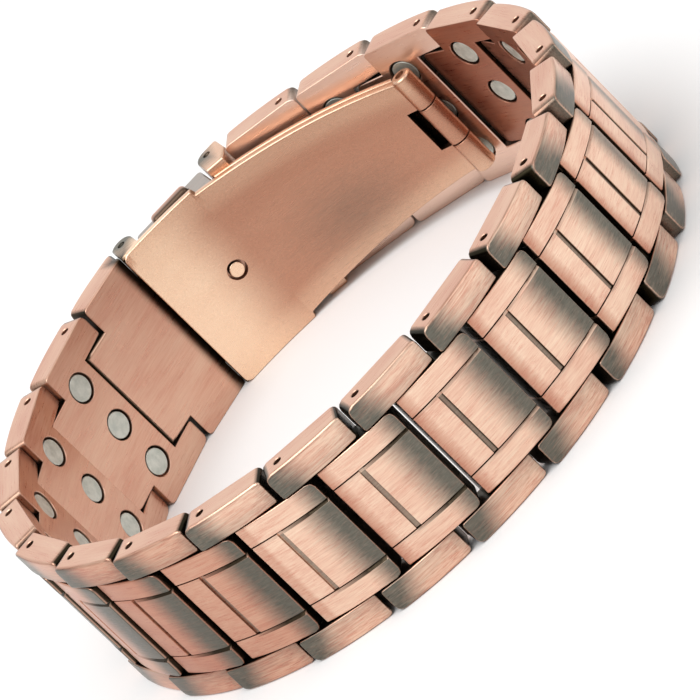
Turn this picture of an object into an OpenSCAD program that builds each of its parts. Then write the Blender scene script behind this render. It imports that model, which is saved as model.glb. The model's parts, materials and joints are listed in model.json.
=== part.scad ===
// Magnetic link bracelet: a closed loop of links with three magnets each and a fold-over clasp.
// It lies on its rim, so the loop is in the XY plane and the band's width is upright along Z.
// The band runs anticlockwise seen from above. The clasp is at the back, on the +Y side.
// The origin is at the middle of the loop's outer size, on the surface that the rim rests on.

/* [Band] */
// How many links with magnets the band has
link_count = 20; // [16:1:24]
// Distance from one link pin to the next
pitch = 10; // [9.5:0.1:12]
// Width of the band, which is the height of the loop as it lies
band_w = 20; // [18:0.5:26]

/* [Link] */
// Thickness of a link at the top of its crowned outer face
link_t = 3.2; // [2.8:0.1:4]
// How much higher the middle of the outer face is than its ends
crown = 0.35; // [0.1:0.05:0.6]
// Width of the lug along each rim
lug_w = 3; // [2.4:0.1:4]
// How far a lug reaches past its own pin
lug_tip = 2; // [1.7:0.1:2.4]
// How far the centre block reaches past the next pin
tongue_tip = 1.5; // [1.2:0.1:1.8]
// Gap between the ends of neighbouring links when the band is straight
end_gap = 0.45; // [0.4:0.05:0.8]
// Gap between a centre block and the lugs beside it
side_gap = 0.15; // [0.1:0.05:0.3]
// Rounding of the link's corners, seen from outside
corner_r = 0.8; // [0.3:0.1:1]

/* [Grooves] */
// Width of the strip beside each lug
strip_w = 2.4; // [1.8:0.1:3]
// Width of the two grooves along the block
groove_w = 0.3; // [0.2:0.05:0.5]
// Width of the groove across the panel
cross_w = 0.45; // [0.3:0.05:0.7]
// Distance from the start of the block to the groove across the panel
cross_at = 3.2; // [2:0.1:5]
// Depth of the grooves
groove_d = 0.35; // [0.2:0.05:0.6]

/* [Magnets] */
// Number of magnets across a link
magnet_rows = 3; // [1:1:3]
// Diameter of a magnet
magnet_d = 2.95; // [2:0.05:3.4]
// Thickness of a magnet
magnet_t = 1; // [0.6:0.1:1.4]
// Distance between the magnets across the band
magnet_pitch = 5.9; // [4.5:0.1:6.2]
// Distance of the magnets from the link's own pin
magnet_at = 4.9; // [4.4:0.1:6]
// Ring gap round a magnet
magnet_gap = 0.18; // [0.1:0.02:0.3]
// How far a magnet lies below the inner face
magnet_sink = 0.15; // [0.05:0.05:0.4]

/* [Pins] */
// Diameter of the link pins
pin_d = 0.8; // [0.6:0.05:1]
// Gap all round a pin in its hole
pin_clear = 0.06; // [0.03:0.01:0.1]
// How far a pin's end lies inside the rim
pin_sink = 0.6; // [0.2:0.1:1]

/* [Clasp ends] */
// Distance from the clasp's ear pin to the first link's pin
end_link_l = 12; // [11:0.1:15]
// Distance between the two ear pins of the closed clasp
ear_span = 13; // [12:0.1:16]
// How far the ear pins lie outside the circle of the link pins
ear_lift = 1.5; // [1:0.1:2]
// Radius of the round ears
ear_r = 1.4; // [1.2:0.1:1.6]
// How far a right ear reaches back past its pin, over the end of the last link
ear_back = 1.8; // [1.5:0.1:2]
// Gap between an ear or a blade's end and the link beside it
ear_gap = 0.3; // [0.2:0.05:0.5]
// How far the ear pin lies outside the seam between the blades at the band's end
ear_rise = 2.1; // [2:0.05:2.4]
// How far the inner blade reaches past the left ears' pin
blade_over = 1.2; // [1:0.1:1.5]

/* [Clasp blades] */
// Thickness of the inner blade
inner_t = 0.9; // [0.7:0.05:1]
// Thickness of the outer blade
outer_t = 0.7; // [0.5:0.05:0.8]
// Gap between the closed blades
blade_gap = 0.15; // [0.1:0.05:0.25]
// Straight distance from the wide end of the inner blade to the hinge
blade_l = 35.6; // [33:0.1:37]
// How far the hinge end lies inside the circle of the link pins
hinge_drop = 3.2; // [3.1:0.1:4.5]
// How much larger the blades' radius is than the loop's
blade_ease = 5; // [3:0.5:8]
// Distance from the right ears' pin to the step where the inner blade widens
step_at = 2.5; // [1.8:0.1:4]
// Width of the blades where they step in
neck_w = 18.7; // [15:0.1:20]
// Width of the blades at the hinge
tail_w = 12.8; // [11:0.1:15]
// Rounding of the corners at the inner blade's wide end
blade_corner = 1.1; // [0.5:0.1:2]

/* [Hinge] */
// Diameter of the hinge barrel
barrel_d = 2.6; // [2.4:0.1:2.8]
// Length of the hinge barrel
barrel_l = 14; // [12:0.1:16]
// Length of the middle knuckle
knuckle_l = 5.2; // [4:0.1:6.5]
// Gap between the knuckles
knuckle_gap = 0.15; // [0.1:0.05:0.3]
// Diameter of the hinge pin
hinge_pin_d = 1; // [0.8:0.1:1.2]
// How far the barrel's axis lies inside the seam between the blades
barrel_in = 0.3; // [0.2:0.05:0.5]
// Length of the slot in the inner blade beside the barrel
slot_l = 1.4; // [0.8:0.1:2.5]
// Chamfer on the barrel's ends
barrel_chamfer = 0.35; // [0.1:0.05:0.5]

/* [Catch] */
// How far the catch block's outer face lies outside the plane of the ear pins
catch_up = 1; // [0.6:0.1:1.6]
// How far the catch block's sides lie inside the rims
catch_inset = 1; // [0.9:0.1:1.5]
// Gap between the catch block and its neighbours
catch_gap = 0.25; // [0.15:0.05:0.4]
// Gap under the catch block where it sits on the inner blade
catch_seat = 0.02; // [0.01:0.01:0.05]
// Diameter of the rivet that holds the catch block
rivet_d = 1.7; // [1.4:0.1:2]
// How deep the rivet sits in the catch block
rivet_in = 1.5; // [1:0.1:1.8]
// Ring gap round the rivet's end in the inner blade
rivet_ring = 0.3; // [0.1:0.05:0.4]
// Rounding of the catch block's corners, seen from outside
catch_corner = 0.4; // [0.2:0.1:1]

/* [Buttons] */
// Length of a push button along the band
button_l = 5; // [4:0.1:5.6]
// Height of a push button through the thickness of the band
button_h = 1.8; // [1.4:0.1:2]
// How far a push button stands out of the catch block
button_out = 0.9; // [0.7:0.05:0.95]
// How far a push button goes in
button_travel = 0.6; // [0.4:0.05:0.65]
// Length of a push button inside the catch block
button_in = 2.4; // [1.8:0.1:3]
// Gap all round a push button
button_clear = 0.15; // [0.1:0.05:0.2]
// Rounding of a push button's ends, seen from the rim
button_r = 0.65; // [0.2:0.05:0.7]

/* [Hidden] */
$fn = 48;

// A circle's smoothness where a long arc is cut from it
arc_fn = 180;

// How far a cut runs past the face that it opens
past = 1;

// How often the search for the closed loop's radius halves its range
halvings = 40;

// How far a piece of the clasp may reach inwards from the ear pins before a blade cuts it off
ear_foot = 6;

// Heights across the band
mid_z = band_w / 2;
block_z0 = lug_w + side_gap;
block_z1 = band_w - block_z0;

// Inner face, outer face at its ends and outer face at its crown, from the plane of the pins
inner_y = (link_t - crown) / 2;
edge_y = -inner_y;
crown_y = edge_y - crown;

// Ends of a link's lugs and of its block, from its own pin
lug_end = pitch - lug_tip - end_gap;
block_start = tongue_tip + end_gap;
block_end = pitch + tongue_tip;

// Angle at the loop's centre between points at two radii that lie a straight distance apart
function apart(r1, r2, dist) = acos((r1 * r1 + r2 * r2 - dist * dist) / (2 * r1 * r2));
function polar(r, a) = [r * cos(a), r * sin(a)];
function direction(from, to) = atan2(to.y - from.y, to.x - from.x);
function turned(v, a) = [v.x * cos(a) - v.y * sin(a), v.x * sin(a) + v.y * cos(a)];

// The whole turn round the loop when the link pins lie on a circle of radius r
function whole_turn(r) =
    (link_count - 1) * apart(r, r, pitch)
    + apart(r, r + ear_lift, pitch)
    + apart(r + ear_lift, r + ear_lift, ear_span)
    + apart(r + ear_lift, r, end_link_l);

// The radius at which the loop closes, found by halving the range that holds it
function closing_radius(low, high, rounds) =
    let (mid = (low + high) / 2)
    rounds == 0 ? mid
    : whole_turn(mid) > 360 ? closing_radius(mid, high, rounds - 1)
    : closing_radius(low, mid, rounds - 1);
loop_r = closing_radius(link_count * pitch / 8, link_count * pitch / 4, halvings);

// Pins of the ears and of the links
ear_pin_r = loop_r + ear_lift;
ear_a = apart(ear_pin_r, ear_pin_r, ear_span) / 2;
ear_right = polar(ear_pin_r, 90 - ear_a);
ear_left = polar(ear_pin_r, 90 + ear_a);
first_a = 90 + ear_a + apart(ear_pin_r, loop_r, end_link_l);
step_a = apart(loop_r, loop_r, pitch);
function pin_at(k) = k > link_count ? ear_right : polar(loop_r, first_a + (k - 1) * step_a);

// Wide end and hinge end of the blades, both on the seam between them
blade_wide_r = ear_pin_r - ear_rise;
blade_wide_a = 90 + ear_a + atan(blade_over / blade_wide_r);
blade_wide = polar(blade_wide_r, blade_wide_a);
blade_tail_r = loop_r - hinge_drop;
blade_tail = polar(blade_tail_r, blade_wide_a - apart(blade_wide_r, blade_tail_r, blade_l));

// Centre of the blades' curve, and the frame in which x runs along the band and y runs inwards
seam_r = loop_r + blade_ease;
blade_dir = direction(blade_tail, blade_wide);
blade_half = blade_l / 2;
blade_centre = (blade_tail + blade_wide) / 2
    + sqrt(seam_r * seam_r - blade_half * blade_half) * polar(1, blade_dir + 90);

// Inner faces, outer faces and cuts of the blades, as radii of the curve
inner_blade_top = seam_r - blade_gap / 2;
inner_blade_low = inner_blade_top - inner_t;
outer_blade_low = seam_r + blade_gap / 2;
outer_blade_top = outer_blade_low + outer_t;

// The hinge barrel's axis in the frame of the blades
barrel_r = barrel_d / 2;
barrel_x = -blade_half;
barrel_y = -sqrt(seam_r * seam_r - blade_half * blade_half) + barrel_in;

// The catch's frame: x from the right ears' pin to the left ears' pin, y inwards, as on a link
catch_dir = direction(ear_right, ear_left);
blade_in_catch = turned(blade_centre - ear_right, -catch_dir);
blade_end_x = ear_span + blade_over;
step_x = turned(ear_right + turned([step_at, 0], catch_dir) - blade_centre, -blade_dir).x;

// The catch block between the ears, along the band, and the place of its buttons and rivet
catch_x0 = ear_r + catch_gap;
catch_x1 = ear_span - ear_r - catch_gap;
catch_x = ear_span / 2;
catch_floor = blade_y(inner_blade_top, catch_x);
tongue_sweep = norm([tongue_tip, crown_y]);
button_y = (catch_floor - catch_up) / 2;

// Height in the catch's frame of a blade face of some radius, at a place along the band
function blade_y(r, x) = blade_in_catch.y - sqrt(r * r - pow(x - blade_in_catch.x, 2));

// Middle of the loop's outer size, from the corners that reach out furthest
link_corners = [
    for (k = [1:link_count], c = [[-lug_tip, edge_y], [lug_end, edge_y], [block_end, edge_y], [pitch / 2, crown_y]])
        pin_at(k) + turned(c, direction(pin_at(k), pin_at(k + 1)))
];
clasp_corners = [for (p = [ear_left, ear_right]) p + [0, ear_r]];
corner_x = [for (p = link_corners) p.x];
corner_y = [for (p = concat(link_corners, clasp_corners)) p.y];
loop_mid = [(max(corner_x) + min(corner_x)) / 2, (max(corner_y) + min(corner_y)) / 2];

// Moves the loop so that its outer size is centred on the origin
module loop() {
    translate([-loop_mid.x, -loop_mid.y, 0]) children();
}

// Puts a piece on the band with its own pin at the first point and x towards the second
module along(from, to) {
    loop() translate([from.x, from.y, 0]) rotate([0, 0, direction(from, to)]) children();
}

// Puts a piece in the frame of the blades
module on_blades() {
    loop() translate([blade_centre.x, blade_centre.y, 0]) rotate([0, 0, blade_dir]) children();
}

// Flat rectangle with round corners
module rounded(x0, x1, y0, y1, r) {
    translate([x0 + r, y0]) square([x1 - x0 - 2 * r, y1 - y0]);
    translate([x0, y0 + r]) square([x1 - x0, y1 - y0 - 2 * r]);
    for (x = [x0 + r, x1 - r], y = [y0 + r, y1 - r]) translate([x, y]) circle(r);
}

// Stands a flat outline of the band's face upright, from the pins' plane outwards and inwards
module faced(reach) {
    rotate([90, 0, 0]) linear_extrude(2 * reach, center = true) children();
}

// The circle whose top makes the crowned outer face of a bar from x0 to x1, lowered by some depth
module crown_circle(x0, x1, depth) {
    half = (x1 - x0) / 2;
    r = (half * half + crown * crown) / (2 * crown);
    translate([(x0 + x1) / 2, crown_y + r]) circle(r - depth, $fn = arc_fn);
}

// Bar of the band from x0 to x1 with a flat inner face, a crowned outer face and the outline of its
// child
module crowned(x0, x1) {
    intersection() {
        translate([0, 0, -past]) linear_extrude(band_w + 2 * past) intersection() {
            translate([x0 - past, crown_y - past]) square([x1 - x0 + 2 * past, inner_y - crown_y + past]);
            crown_circle(x0, x1, 0);
        }
        faced(2 * link_t) children();
    }
}

// Crowned bar with a rectangular outline and round corners
module bar(x0, x1, z0, z1) {
    crowned(x0, x1) rounded(x0, x1, z0, z1, corner_r);
}

// Groove in the crowned face of the bar from x0 to x1, cut from a to b along it
module groove(x0, x1, a, b, z0, z1) {
    translate([0, 0, z0]) linear_extrude(z1 - z0) difference() {
        translate([a, crown_y - past]) square([b - a, past - crown_y]);
        crown_circle(x0, x1, groove_d);
    }
}

// Centre block with its two long grooves and the groove across its panel
module block() {
    groove_at = block_z0 + strip_w;
    difference() {
        bar(block_start, block_end, block_z0, block_z1);
        for (z = [groove_at, band_w - groove_at - groove_w])
            groove(block_start, block_end, block_start - past, block_end + past, z, z + groove_w);
        groove(block_start, block_end, block_start + cross_at, block_start + cross_at + cross_w,
            groove_at, band_w - groove_at);
    }
}

// Hole for a pin across the whole band
module pin_hole(x) {
    translate([x, 0, -past]) cylinder(d = pin_d + 2 * pin_clear, h = band_w + 2 * past);
}

// Places of the magnets across the band
function magnet_z(row) = mid_z + (row - (magnet_rows - 1) / 2) * magnet_pitch;

// One link: lugs along the rims, the centre block, the webs that join them, and its holes
module link_body() {
    difference() {
        union() {
            for (z = [0, band_w - lug_w]) bar(-lug_tip, lug_end, z, z + lug_w);
            block();
            for (z = [lug_w - corner_r, block_z1 - corner_r])
                translate([block_start + corner_r, edge_y + groove_d, z])
                    cube([lug_end - block_start - 2 * corner_r, 2 * inner_y - groove_d,
                        2 * corner_r + side_gap]);
        }
        for (x = [0, pitch]) pin_hole(x);
        for (row = [0:magnet_rows - 1])
            translate([magnet_at, inner_y - magnet_t - magnet_sink, magnet_z(row)]) rotate([-90, 0, 0])
                cylinder(d = magnet_d + 2 * magnet_gap, h = magnet_t + magnet_sink + past);
    }
}

module link(k) {
    color("#c98f74") along(pin_at(k), pin_at(k + 1)) link_body();
}

// Everything on one side of a plane across the band, in the frame where it is used
module before(x) {
    translate([x - 2 * ear_span, -ear_span, -past])
        cube([2 * ear_span, 2 * ear_span, band_w + 2 * past]);
}

// Plain link at the clasp's left ears, with a tongue at each end. Its full width starts along the
// end of the inner blade.
module end_link() {
    x0 = -tongue_tip;
    x1 = end_link_l + tongue_tip;
    color("#c98f74") difference() {
        union() {
            difference() {
                along(ear_left, pin_at(1)) crowned(x0, x1)
                    rounded(0, end_link_l - lug_tip - end_gap, 0, band_w, corner_r);
                at_catch() before(ear_span + ear_r + ear_gap);
            }
            along(ear_left, pin_at(1)) bar(x0, x1, block_z0, block_z1);
        }
        along(ear_left, pin_at(1)) for (x = [0, end_link_l]) pin_hole(x);
    }
}

module magnets() {
    color("#aaafa5") for (k = [1:link_count], row = [0:magnet_rows - 1])
        along(pin_at(k), pin_at(k + 1))
            translate([magnet_at, inner_y - magnet_t - magnet_sink, magnet_z(row)]) rotate([-90, 0, 0])
                cylinder(d = magnet_d, h = magnet_t);
}

// Straight pin across the band at a point of the loop
module band_pin(p) {
    loop() translate([p.x, p.y, pin_sink]) cylinder(d = pin_d, h = band_w - 2 * pin_sink);
}

module link_pins() {
    color("#8a7f72") for (k = [1:link_count]) band_pin(pin_at(k));
}

module clasp_pins() {
    color("#8a7f72") for (p = [ear_left, ear_right]) band_pin(p);
}

// Puts a piece in the catch's frame
module at_catch() {
    along(ear_right, ear_left) children();
}

// Curved wall of the blades between two radii, reaching past both rims
module curved(r0, r1) {
    translate([0, 0, -past]) linear_extrude(band_w + 2 * past) difference() {
        circle(r1, $fn = arc_fn);
        circle(r0, $fn = arc_fn);
    }
}

// Stands an outline of the band's face upright, outwards from a plane
module outlined(inner_plane) {
    translate([0, inner_plane, 0]) rotate([90, 0, 0]) linear_extrude(2 * seam_r) children();
}

// The tapering part of the blades, as wide as the neck at the step and widening on to some end
module taper(end_x) {
    end_w = tail_w + (neck_w - tail_w) * (end_x - barrel_x) / (step_x - barrel_x);
    polygon([
        [barrel_x, mid_z - tail_w / 2], [end_x, mid_z - end_w / 2],
        [end_x, mid_z + end_w / 2], [barrel_x, mid_z + tail_w / 2]
    ]);
}

// The wide part of the inner blade, square at the step and round at the corners of its end
module wide_part() {
    translate([step_at, 0]) square([2 * blade_corner, band_w]);
    rounded(step_at, blade_end_x, 0, band_w, blade_corner);
}

// Pair of ears round a pin of the catch's frame, with a foot that reaches down to a blade face
module ears(x, back, front, foot_r) {
    for (z = [0, band_w - lug_w]) difference() {
        union() {
            translate([x, 0, z]) cylinder(r = ear_r, h = lug_w);
            translate([x - back, 0, z]) cube([back + front, ear_foot, lug_w]);
            if (back > ear_r) translate([x - back, -ear_r, z]) cube([back, 2 * ear_r, lug_w]);
        }
        translate([blade_in_catch.x, blade_in_catch.y, z - past])
            cylinder(r = foot_r, h = lug_w + 2 * past, $fn = arc_fn);
        pin_hole(x);
    }
}

// Bore of the hinge pin
module hinge_bore() {
    translate([barrel_x, barrel_y, -past])
        cylinder(d = hinge_pin_d + 2 * pin_clear, h = band_w + 2 * past);
}

// One knuckle of the hinge barrel, chamfered at its upper or lower end where asked
module knuckle(z0, z1, chamfer_low, chamfer_high) {
    translate([barrel_x, barrel_y, z0 + chamfer_low])
        cylinder(r = barrel_r, h = z1 - z0 - chamfer_low - chamfer_high);
    if (chamfer_low > 0) translate([barrel_x, barrel_y, z0])
        cylinder(r1 = barrel_r - chamfer_low, r2 = barrel_r, h = chamfer_low);
    if (chamfer_high > 0) translate([barrel_x, barrel_y, z1 - chamfer_high])
        cylinder(r1 = barrel_r, r2 = barrel_r - chamfer_high, h = chamfer_high);
}

// Block of room round the barrel, from z0 to z1 and as far along the band as x1
module hinge_room(z0, z1, x1) {
    translate([barrel_x - barrel_d, barrel_y - barrel_d, z0])
        cube([x1 - barrel_x + barrel_d, 2 * barrel_d, z1 - z0]);
}

module inner_blade() {
    room_z = knuckle_l / 2 + knuckle_gap;
    color("#e3ab88") difference() {
        union() {
            difference() {
                intersection() {
                    on_blades() curved(inner_blade_low, inner_blade_top);
                    union() {
                        on_blades() outlined(0) taper(step_x + blade_corner);
                        at_catch() outlined(ear_foot) wide_part();
                    }
                }
                on_blades() hinge_room(mid_z - room_z, mid_z + room_z, barrel_x + barrel_r + slot_l);
            }
            on_blades() {
                knuckle(mid_z - barrel_l / 2, mid_z - room_z, barrel_chamfer, 0);
                knuckle(mid_z + room_z, mid_z + barrel_l / 2, 0, barrel_chamfer);
            }
            at_catch() ears(ear_span, ear_r, blade_over, inner_blade_top - inner_t / 2);
        }
        on_blades() hinge_bore();
        at_catch() translate([catch_x, 0, mid_z]) rotate([-90, 0, 0])
            cylinder(d = rivet_d + 2 * rivet_ring, h = ear_foot + inner_t);
    }
}

module outer_blade() {
    clear_x = barrel_x + barrel_r + catch_gap;
    color("#b98872") {
        difference() {
            on_blades() difference() {
                union() {
                    difference() {
                        intersection() {
                            curved(outer_blade_low, outer_blade_top);
                            outlined(0) taper(step_x);
                        }
                        hinge_room(-past, mid_z - knuckle_l / 2, clear_x);
                        hinge_room(mid_z + knuckle_l / 2, band_w + past, clear_x);
                    }
                    knuckle(mid_z - knuckle_l / 2, mid_z + knuckle_l / 2, 0, 0);
                }
                hinge_bore();
            }
            at_catch() translate([ear_r, 0, -past]) cube([ear_span, 2 * ear_foot, band_w + 2 * past]);
        }
        difference() {
            at_catch() ears(0, ear_back, ear_r, outer_blade_low + outer_t / 2);
            along(pin_at(link_count), ear_right) before(lug_end + ear_gap);
        }
    }
}

module hinge_pin() {
    color("#8a7f72") on_blades() translate([barrel_x, barrel_y, mid_z])
        cylinder(d = hinge_pin_d, h = barrel_l - 2 * pin_sink, center = true);
}

// Outline of a push button seen from the rim, grown by a gap
module button_outline(grow) {
    rounded(catch_x - button_l / 2 - grow, catch_x + button_l / 2 + grow,
        button_y - button_h / 2 - grow, button_y + button_h / 2 + grow, button_r + grow);
}

module catch_block() {
    pocket_d = button_in + button_travel + button_clear;
    color("#9a9590") at_catch() difference() {
        intersection() {
            linear_extrude(band_w) difference() {
                translate([catch_x0, -catch_up]) square([catch_x1 - catch_x0, catch_up + ear_foot]);
                translate(blade_in_catch) circle(inner_blade_top + catch_seat, $fn = arc_fn);
            }
            outlined(ear_foot) rounded(catch_x0, catch_x1, catch_inset, band_w - catch_inset, catch_corner);
        }
        for (x = [0, ear_span]) translate([x, 0, block_z0 - side_gap])
            cylinder(r = tongue_sweep + side_gap, h = block_z1 - block_z0 + 2 * side_gap);
        for (z = [catch_inset - past, band_w - catch_inset - pocket_d])
            translate([0, 0, z]) linear_extrude(pocket_d + past) button_outline(button_clear);
        translate([catch_x, catch_floor - rivet_in, mid_z]) rotate([-90, 0, 0])
            cylinder(d = rivet_d + 2 * pin_clear, h = ear_foot);
    }
}

// Rivet through the inner blade into the catch block, its end level with the blade's inner face
module catch_rivet() {
    color("#d9a384") at_catch() translate([catch_x, catch_floor - rivet_in, mid_z]) rotate([-90, 0, 0])
        cylinder(d = rivet_d, h = rivet_in + inner_t);
}

// Push button with its outer end at height z_out and its inner end at height z_in
module button(z_out, z_in) {
    color("#8f6a55") at_catch() translate([0, 0, min(z_out, z_in)])
        linear_extrude(abs(z_out - z_in)) button_outline(0);
}

module button_top() {
    button(band_w - catch_inset + button_out, band_w - catch_inset - button_in);
}

module button_bottom() {
    button(catch_inset - button_out, catch_inset + button_in);
}

function link_name(k) = str("link_", k < 10 ? "0" : "", k);
link_names = [for (k = [1:link_count]) link_name(k)];

for (k = [1:link_count]) link(k);
end_link();
magnets();
link_pins();
clasp_pins();
inner_blade();
outer_blade();
hinge_pin();
catch_block();
catch_rivet();
button_top();
button_bottom();
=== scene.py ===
"""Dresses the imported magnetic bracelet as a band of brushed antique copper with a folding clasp.

Sizes are in millimetres and angles in degrees. Each mesh is made in the local frame of its own
piece, where s runs along the band, y runs inwards to the wrist and z runs across the band, and it
is scaled to metres as it is placed on the loop.
"""

import json
import logging
import math
from dataclasses import dataclass, field
from enum import Enum
from functools import partial
from typing import Callable, Iterable, Sequence

import bmesh
import bpy
import numpy as np
from mathutils import Matrix, Vector

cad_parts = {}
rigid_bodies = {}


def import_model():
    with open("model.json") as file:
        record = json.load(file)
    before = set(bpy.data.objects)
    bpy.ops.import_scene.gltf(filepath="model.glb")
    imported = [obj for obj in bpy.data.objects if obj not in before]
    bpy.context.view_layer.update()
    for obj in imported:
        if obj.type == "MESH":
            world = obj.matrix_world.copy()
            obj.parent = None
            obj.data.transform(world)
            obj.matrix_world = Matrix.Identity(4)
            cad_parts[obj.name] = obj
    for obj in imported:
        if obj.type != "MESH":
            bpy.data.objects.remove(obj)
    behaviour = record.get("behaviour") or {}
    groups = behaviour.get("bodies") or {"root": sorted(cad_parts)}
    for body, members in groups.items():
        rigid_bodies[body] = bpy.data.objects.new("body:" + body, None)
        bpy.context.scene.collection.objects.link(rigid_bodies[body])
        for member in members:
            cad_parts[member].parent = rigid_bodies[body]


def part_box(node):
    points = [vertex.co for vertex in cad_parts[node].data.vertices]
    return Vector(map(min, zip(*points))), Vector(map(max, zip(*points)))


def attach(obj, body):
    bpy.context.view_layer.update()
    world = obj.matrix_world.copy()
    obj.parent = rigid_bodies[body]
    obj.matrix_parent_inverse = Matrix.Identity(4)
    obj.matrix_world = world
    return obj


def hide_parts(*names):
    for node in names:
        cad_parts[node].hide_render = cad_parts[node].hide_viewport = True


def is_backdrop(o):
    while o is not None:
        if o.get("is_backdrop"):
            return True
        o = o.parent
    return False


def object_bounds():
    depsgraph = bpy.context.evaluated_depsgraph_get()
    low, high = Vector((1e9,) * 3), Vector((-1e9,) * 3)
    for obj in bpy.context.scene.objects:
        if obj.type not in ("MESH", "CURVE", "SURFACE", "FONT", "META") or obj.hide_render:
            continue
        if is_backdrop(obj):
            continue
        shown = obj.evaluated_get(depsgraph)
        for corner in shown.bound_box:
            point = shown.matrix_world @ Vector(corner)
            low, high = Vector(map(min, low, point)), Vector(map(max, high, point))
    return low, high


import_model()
CAD_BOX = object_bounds()

LOG = logging.getLogger("bracelet")
MM = 0.001
PHOTO_PIXELS = 700

# Facets round an edge.
EDGE_FACETS = 4
# Points closer than this are one point, in millimetres.
WELD = 1e-5
# A point this close to a cutting plane lies on it.
ON_PLANE = 1e-4
# How far a tool reaches past the face that it cuts.
PAST = 1.0
# Digits that are kept of the places of a sheet's rows.
PLACE_DIGITS = 5
# A point this far off a face is still shaded with it.
SLACK = 0.02
# Edges that turn by more than this stay sharp, in degrees.
SHARP_TURN = 29
# How often the range that holds the loop's radius is halved.
HALVINGS = 48
# What each piece adds to the place that its noises read.
SEED_STEP = (7.3, 3.1, 5.7)
# Depth of a finish's relief, in millimetres.
RELIEF_DEPTH = 0.05
# The part of a noise's range that a finish makes use of.
NOISE_SPAN = (0.3, 0.7)

Point2 = tuple[float, float]
Point3 = tuple[float, float, float]
Part = bpy.types.Object
Socket = bpy.types.NodeSocket
Shade = np.ndarray | float


class Body(Enum):
    """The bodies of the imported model."""

    BAND = "band"
    TOP_BUTTON = "top_button"
    BOTTOM_BUTTON = "bottom_button"


class Cut(Enum):
    """What is done with the tools of a boolean step."""

    ADD = "UNION"
    TAKE = "DIFFERENCE"


class Zone(Enum):
    """Where a grid line of a bar lies: near its start, in its middle part or near its end."""

    START = "start"
    CORE = "core"
    END = "end"


# Sizes and the loop


@dataclass(frozen=True)
class BandPlan:
    """Sizes that the whole band shares, and where patina and painted shade fade on faces and walls.
    """

    link_count: int = 20
    pitch: float = 10.0
    width: float = 20.0
    link_t: float = 3.2
    crown: float = 0.35
    lug_w: float = 3.0
    lug_tip: float = 2.0
    tongue_tip: float = 1.5
    end_gap: float = 0.45
    side_gap: float = 0.15
    end_link_l: float = 12.0
    ear_span: float = 13.0
    ear_lift: float = 1.5
    ear_r: float = 1.4
    ear_gap: float = 0.1
    pin_d: float = 0.8
    pin_clear: float = 0.06
    pin_sink: float = 0.6
    face_fade: Point2 = (-1.35, -0.4)
    rim_fade: Point2 = (0.02, 0.14)
    # Where the painted shade on walls that face a gap starts below the outer face and fades out
    # above the inner face.
    wall_top: Point2 = (0.14, 0.28)
    wall_foot: Point2 = (0.04, 0.14)

    @property
    def inner_y(self) -> float:
        """Height of a link's inner face over the plane of its pins."""
        return (self.link_t - self.crown) / 2

    @property
    def edge_y(self) -> float:
        """Height of the outer face at the ends of a bar."""
        return -self.inner_y

    @property
    def crown_y(self) -> float:
        """Height of the outer face at the middle of a bar."""
        return self.edge_y - self.crown

    @property
    def mid_z(self) -> float:
        """Middle of the band's width."""
        return self.width / 2

    @property
    def lug_end(self) -> float:
        """End of a link's lugs, from its own pin."""
        return self.pitch - self.lug_tip - self.end_gap

    @property
    def block_start(self) -> float:
        """Start of a link's centre block, from its own pin."""
        return self.tongue_tip + self.end_gap

    @property
    def block_end(self) -> float:
        """End of a link's centre block, from its own pin."""
        return self.pitch + self.tongue_tip

    @property
    def block_z0(self) -> float:
        """Lower side of the centre block."""
        return self.lug_w + self.side_gap

    @property
    def block_z1(self) -> float:
        """Upper side of the centre block."""
        return self.width - self.block_z0

    def outward(self, y: np.ndarray) -> np.ndarray:
        """Gives 1 on the outer face, and fades to 0 on the way to the inner one."""
        return 1 - smooth(*self.face_fade, y)

    def off_rim(self, z: np.ndarray) -> np.ndarray:
        """Gives 0 on the band's two rims, and 1 a little way in from them."""
        return smooth(*self.rim_fade, np.minimum(z, self.width - z))


def apart(r1: float, r2: float, dist: float) -> float:
    """Gives the angle at the loop's centre between points at two radii, some distance apart."""
    return math.acos((r1 * r1 + r2 * r2 - dist * dist) / (2 * r1 * r2))


@dataclass(frozen=True)
class Seat:
    """A local frame on the loop: an origin and the direction in which s runs."""

    x: float
    y: float
    heading: float

    def matrix(self) -> Matrix:
        """Gives the matrix from the local frame to the loop, both in millimetres."""
        return Matrix.Translation((self.x, self.y, 0)) @ Matrix.Rotation(self.heading, 4, "Z")

    def placed(self, s: float, y: float) -> Point2:
        """Gives the place on the loop of a local point."""
        c, n = math.cos(self.heading), math.sin(self.heading)
        return self.x + s * c - y * n, self.y + s * n + y * c

    def local(self, x: float, y: float) -> Point2:
        """Gives the local place of a point on the loop."""
        c, n = math.cos(self.heading), math.sin(self.heading)
        return (x - self.x) * c + (y - self.y) * n, (y - self.y) * c - (x - self.x) * n


def seat_between(a: Point2, b: Point2) -> Seat:
    """Gives the local frame at one point that looks towards another."""
    return Seat(a[0], a[1], math.atan2(b[1] - a[1], b[0] - a[0]))


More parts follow.
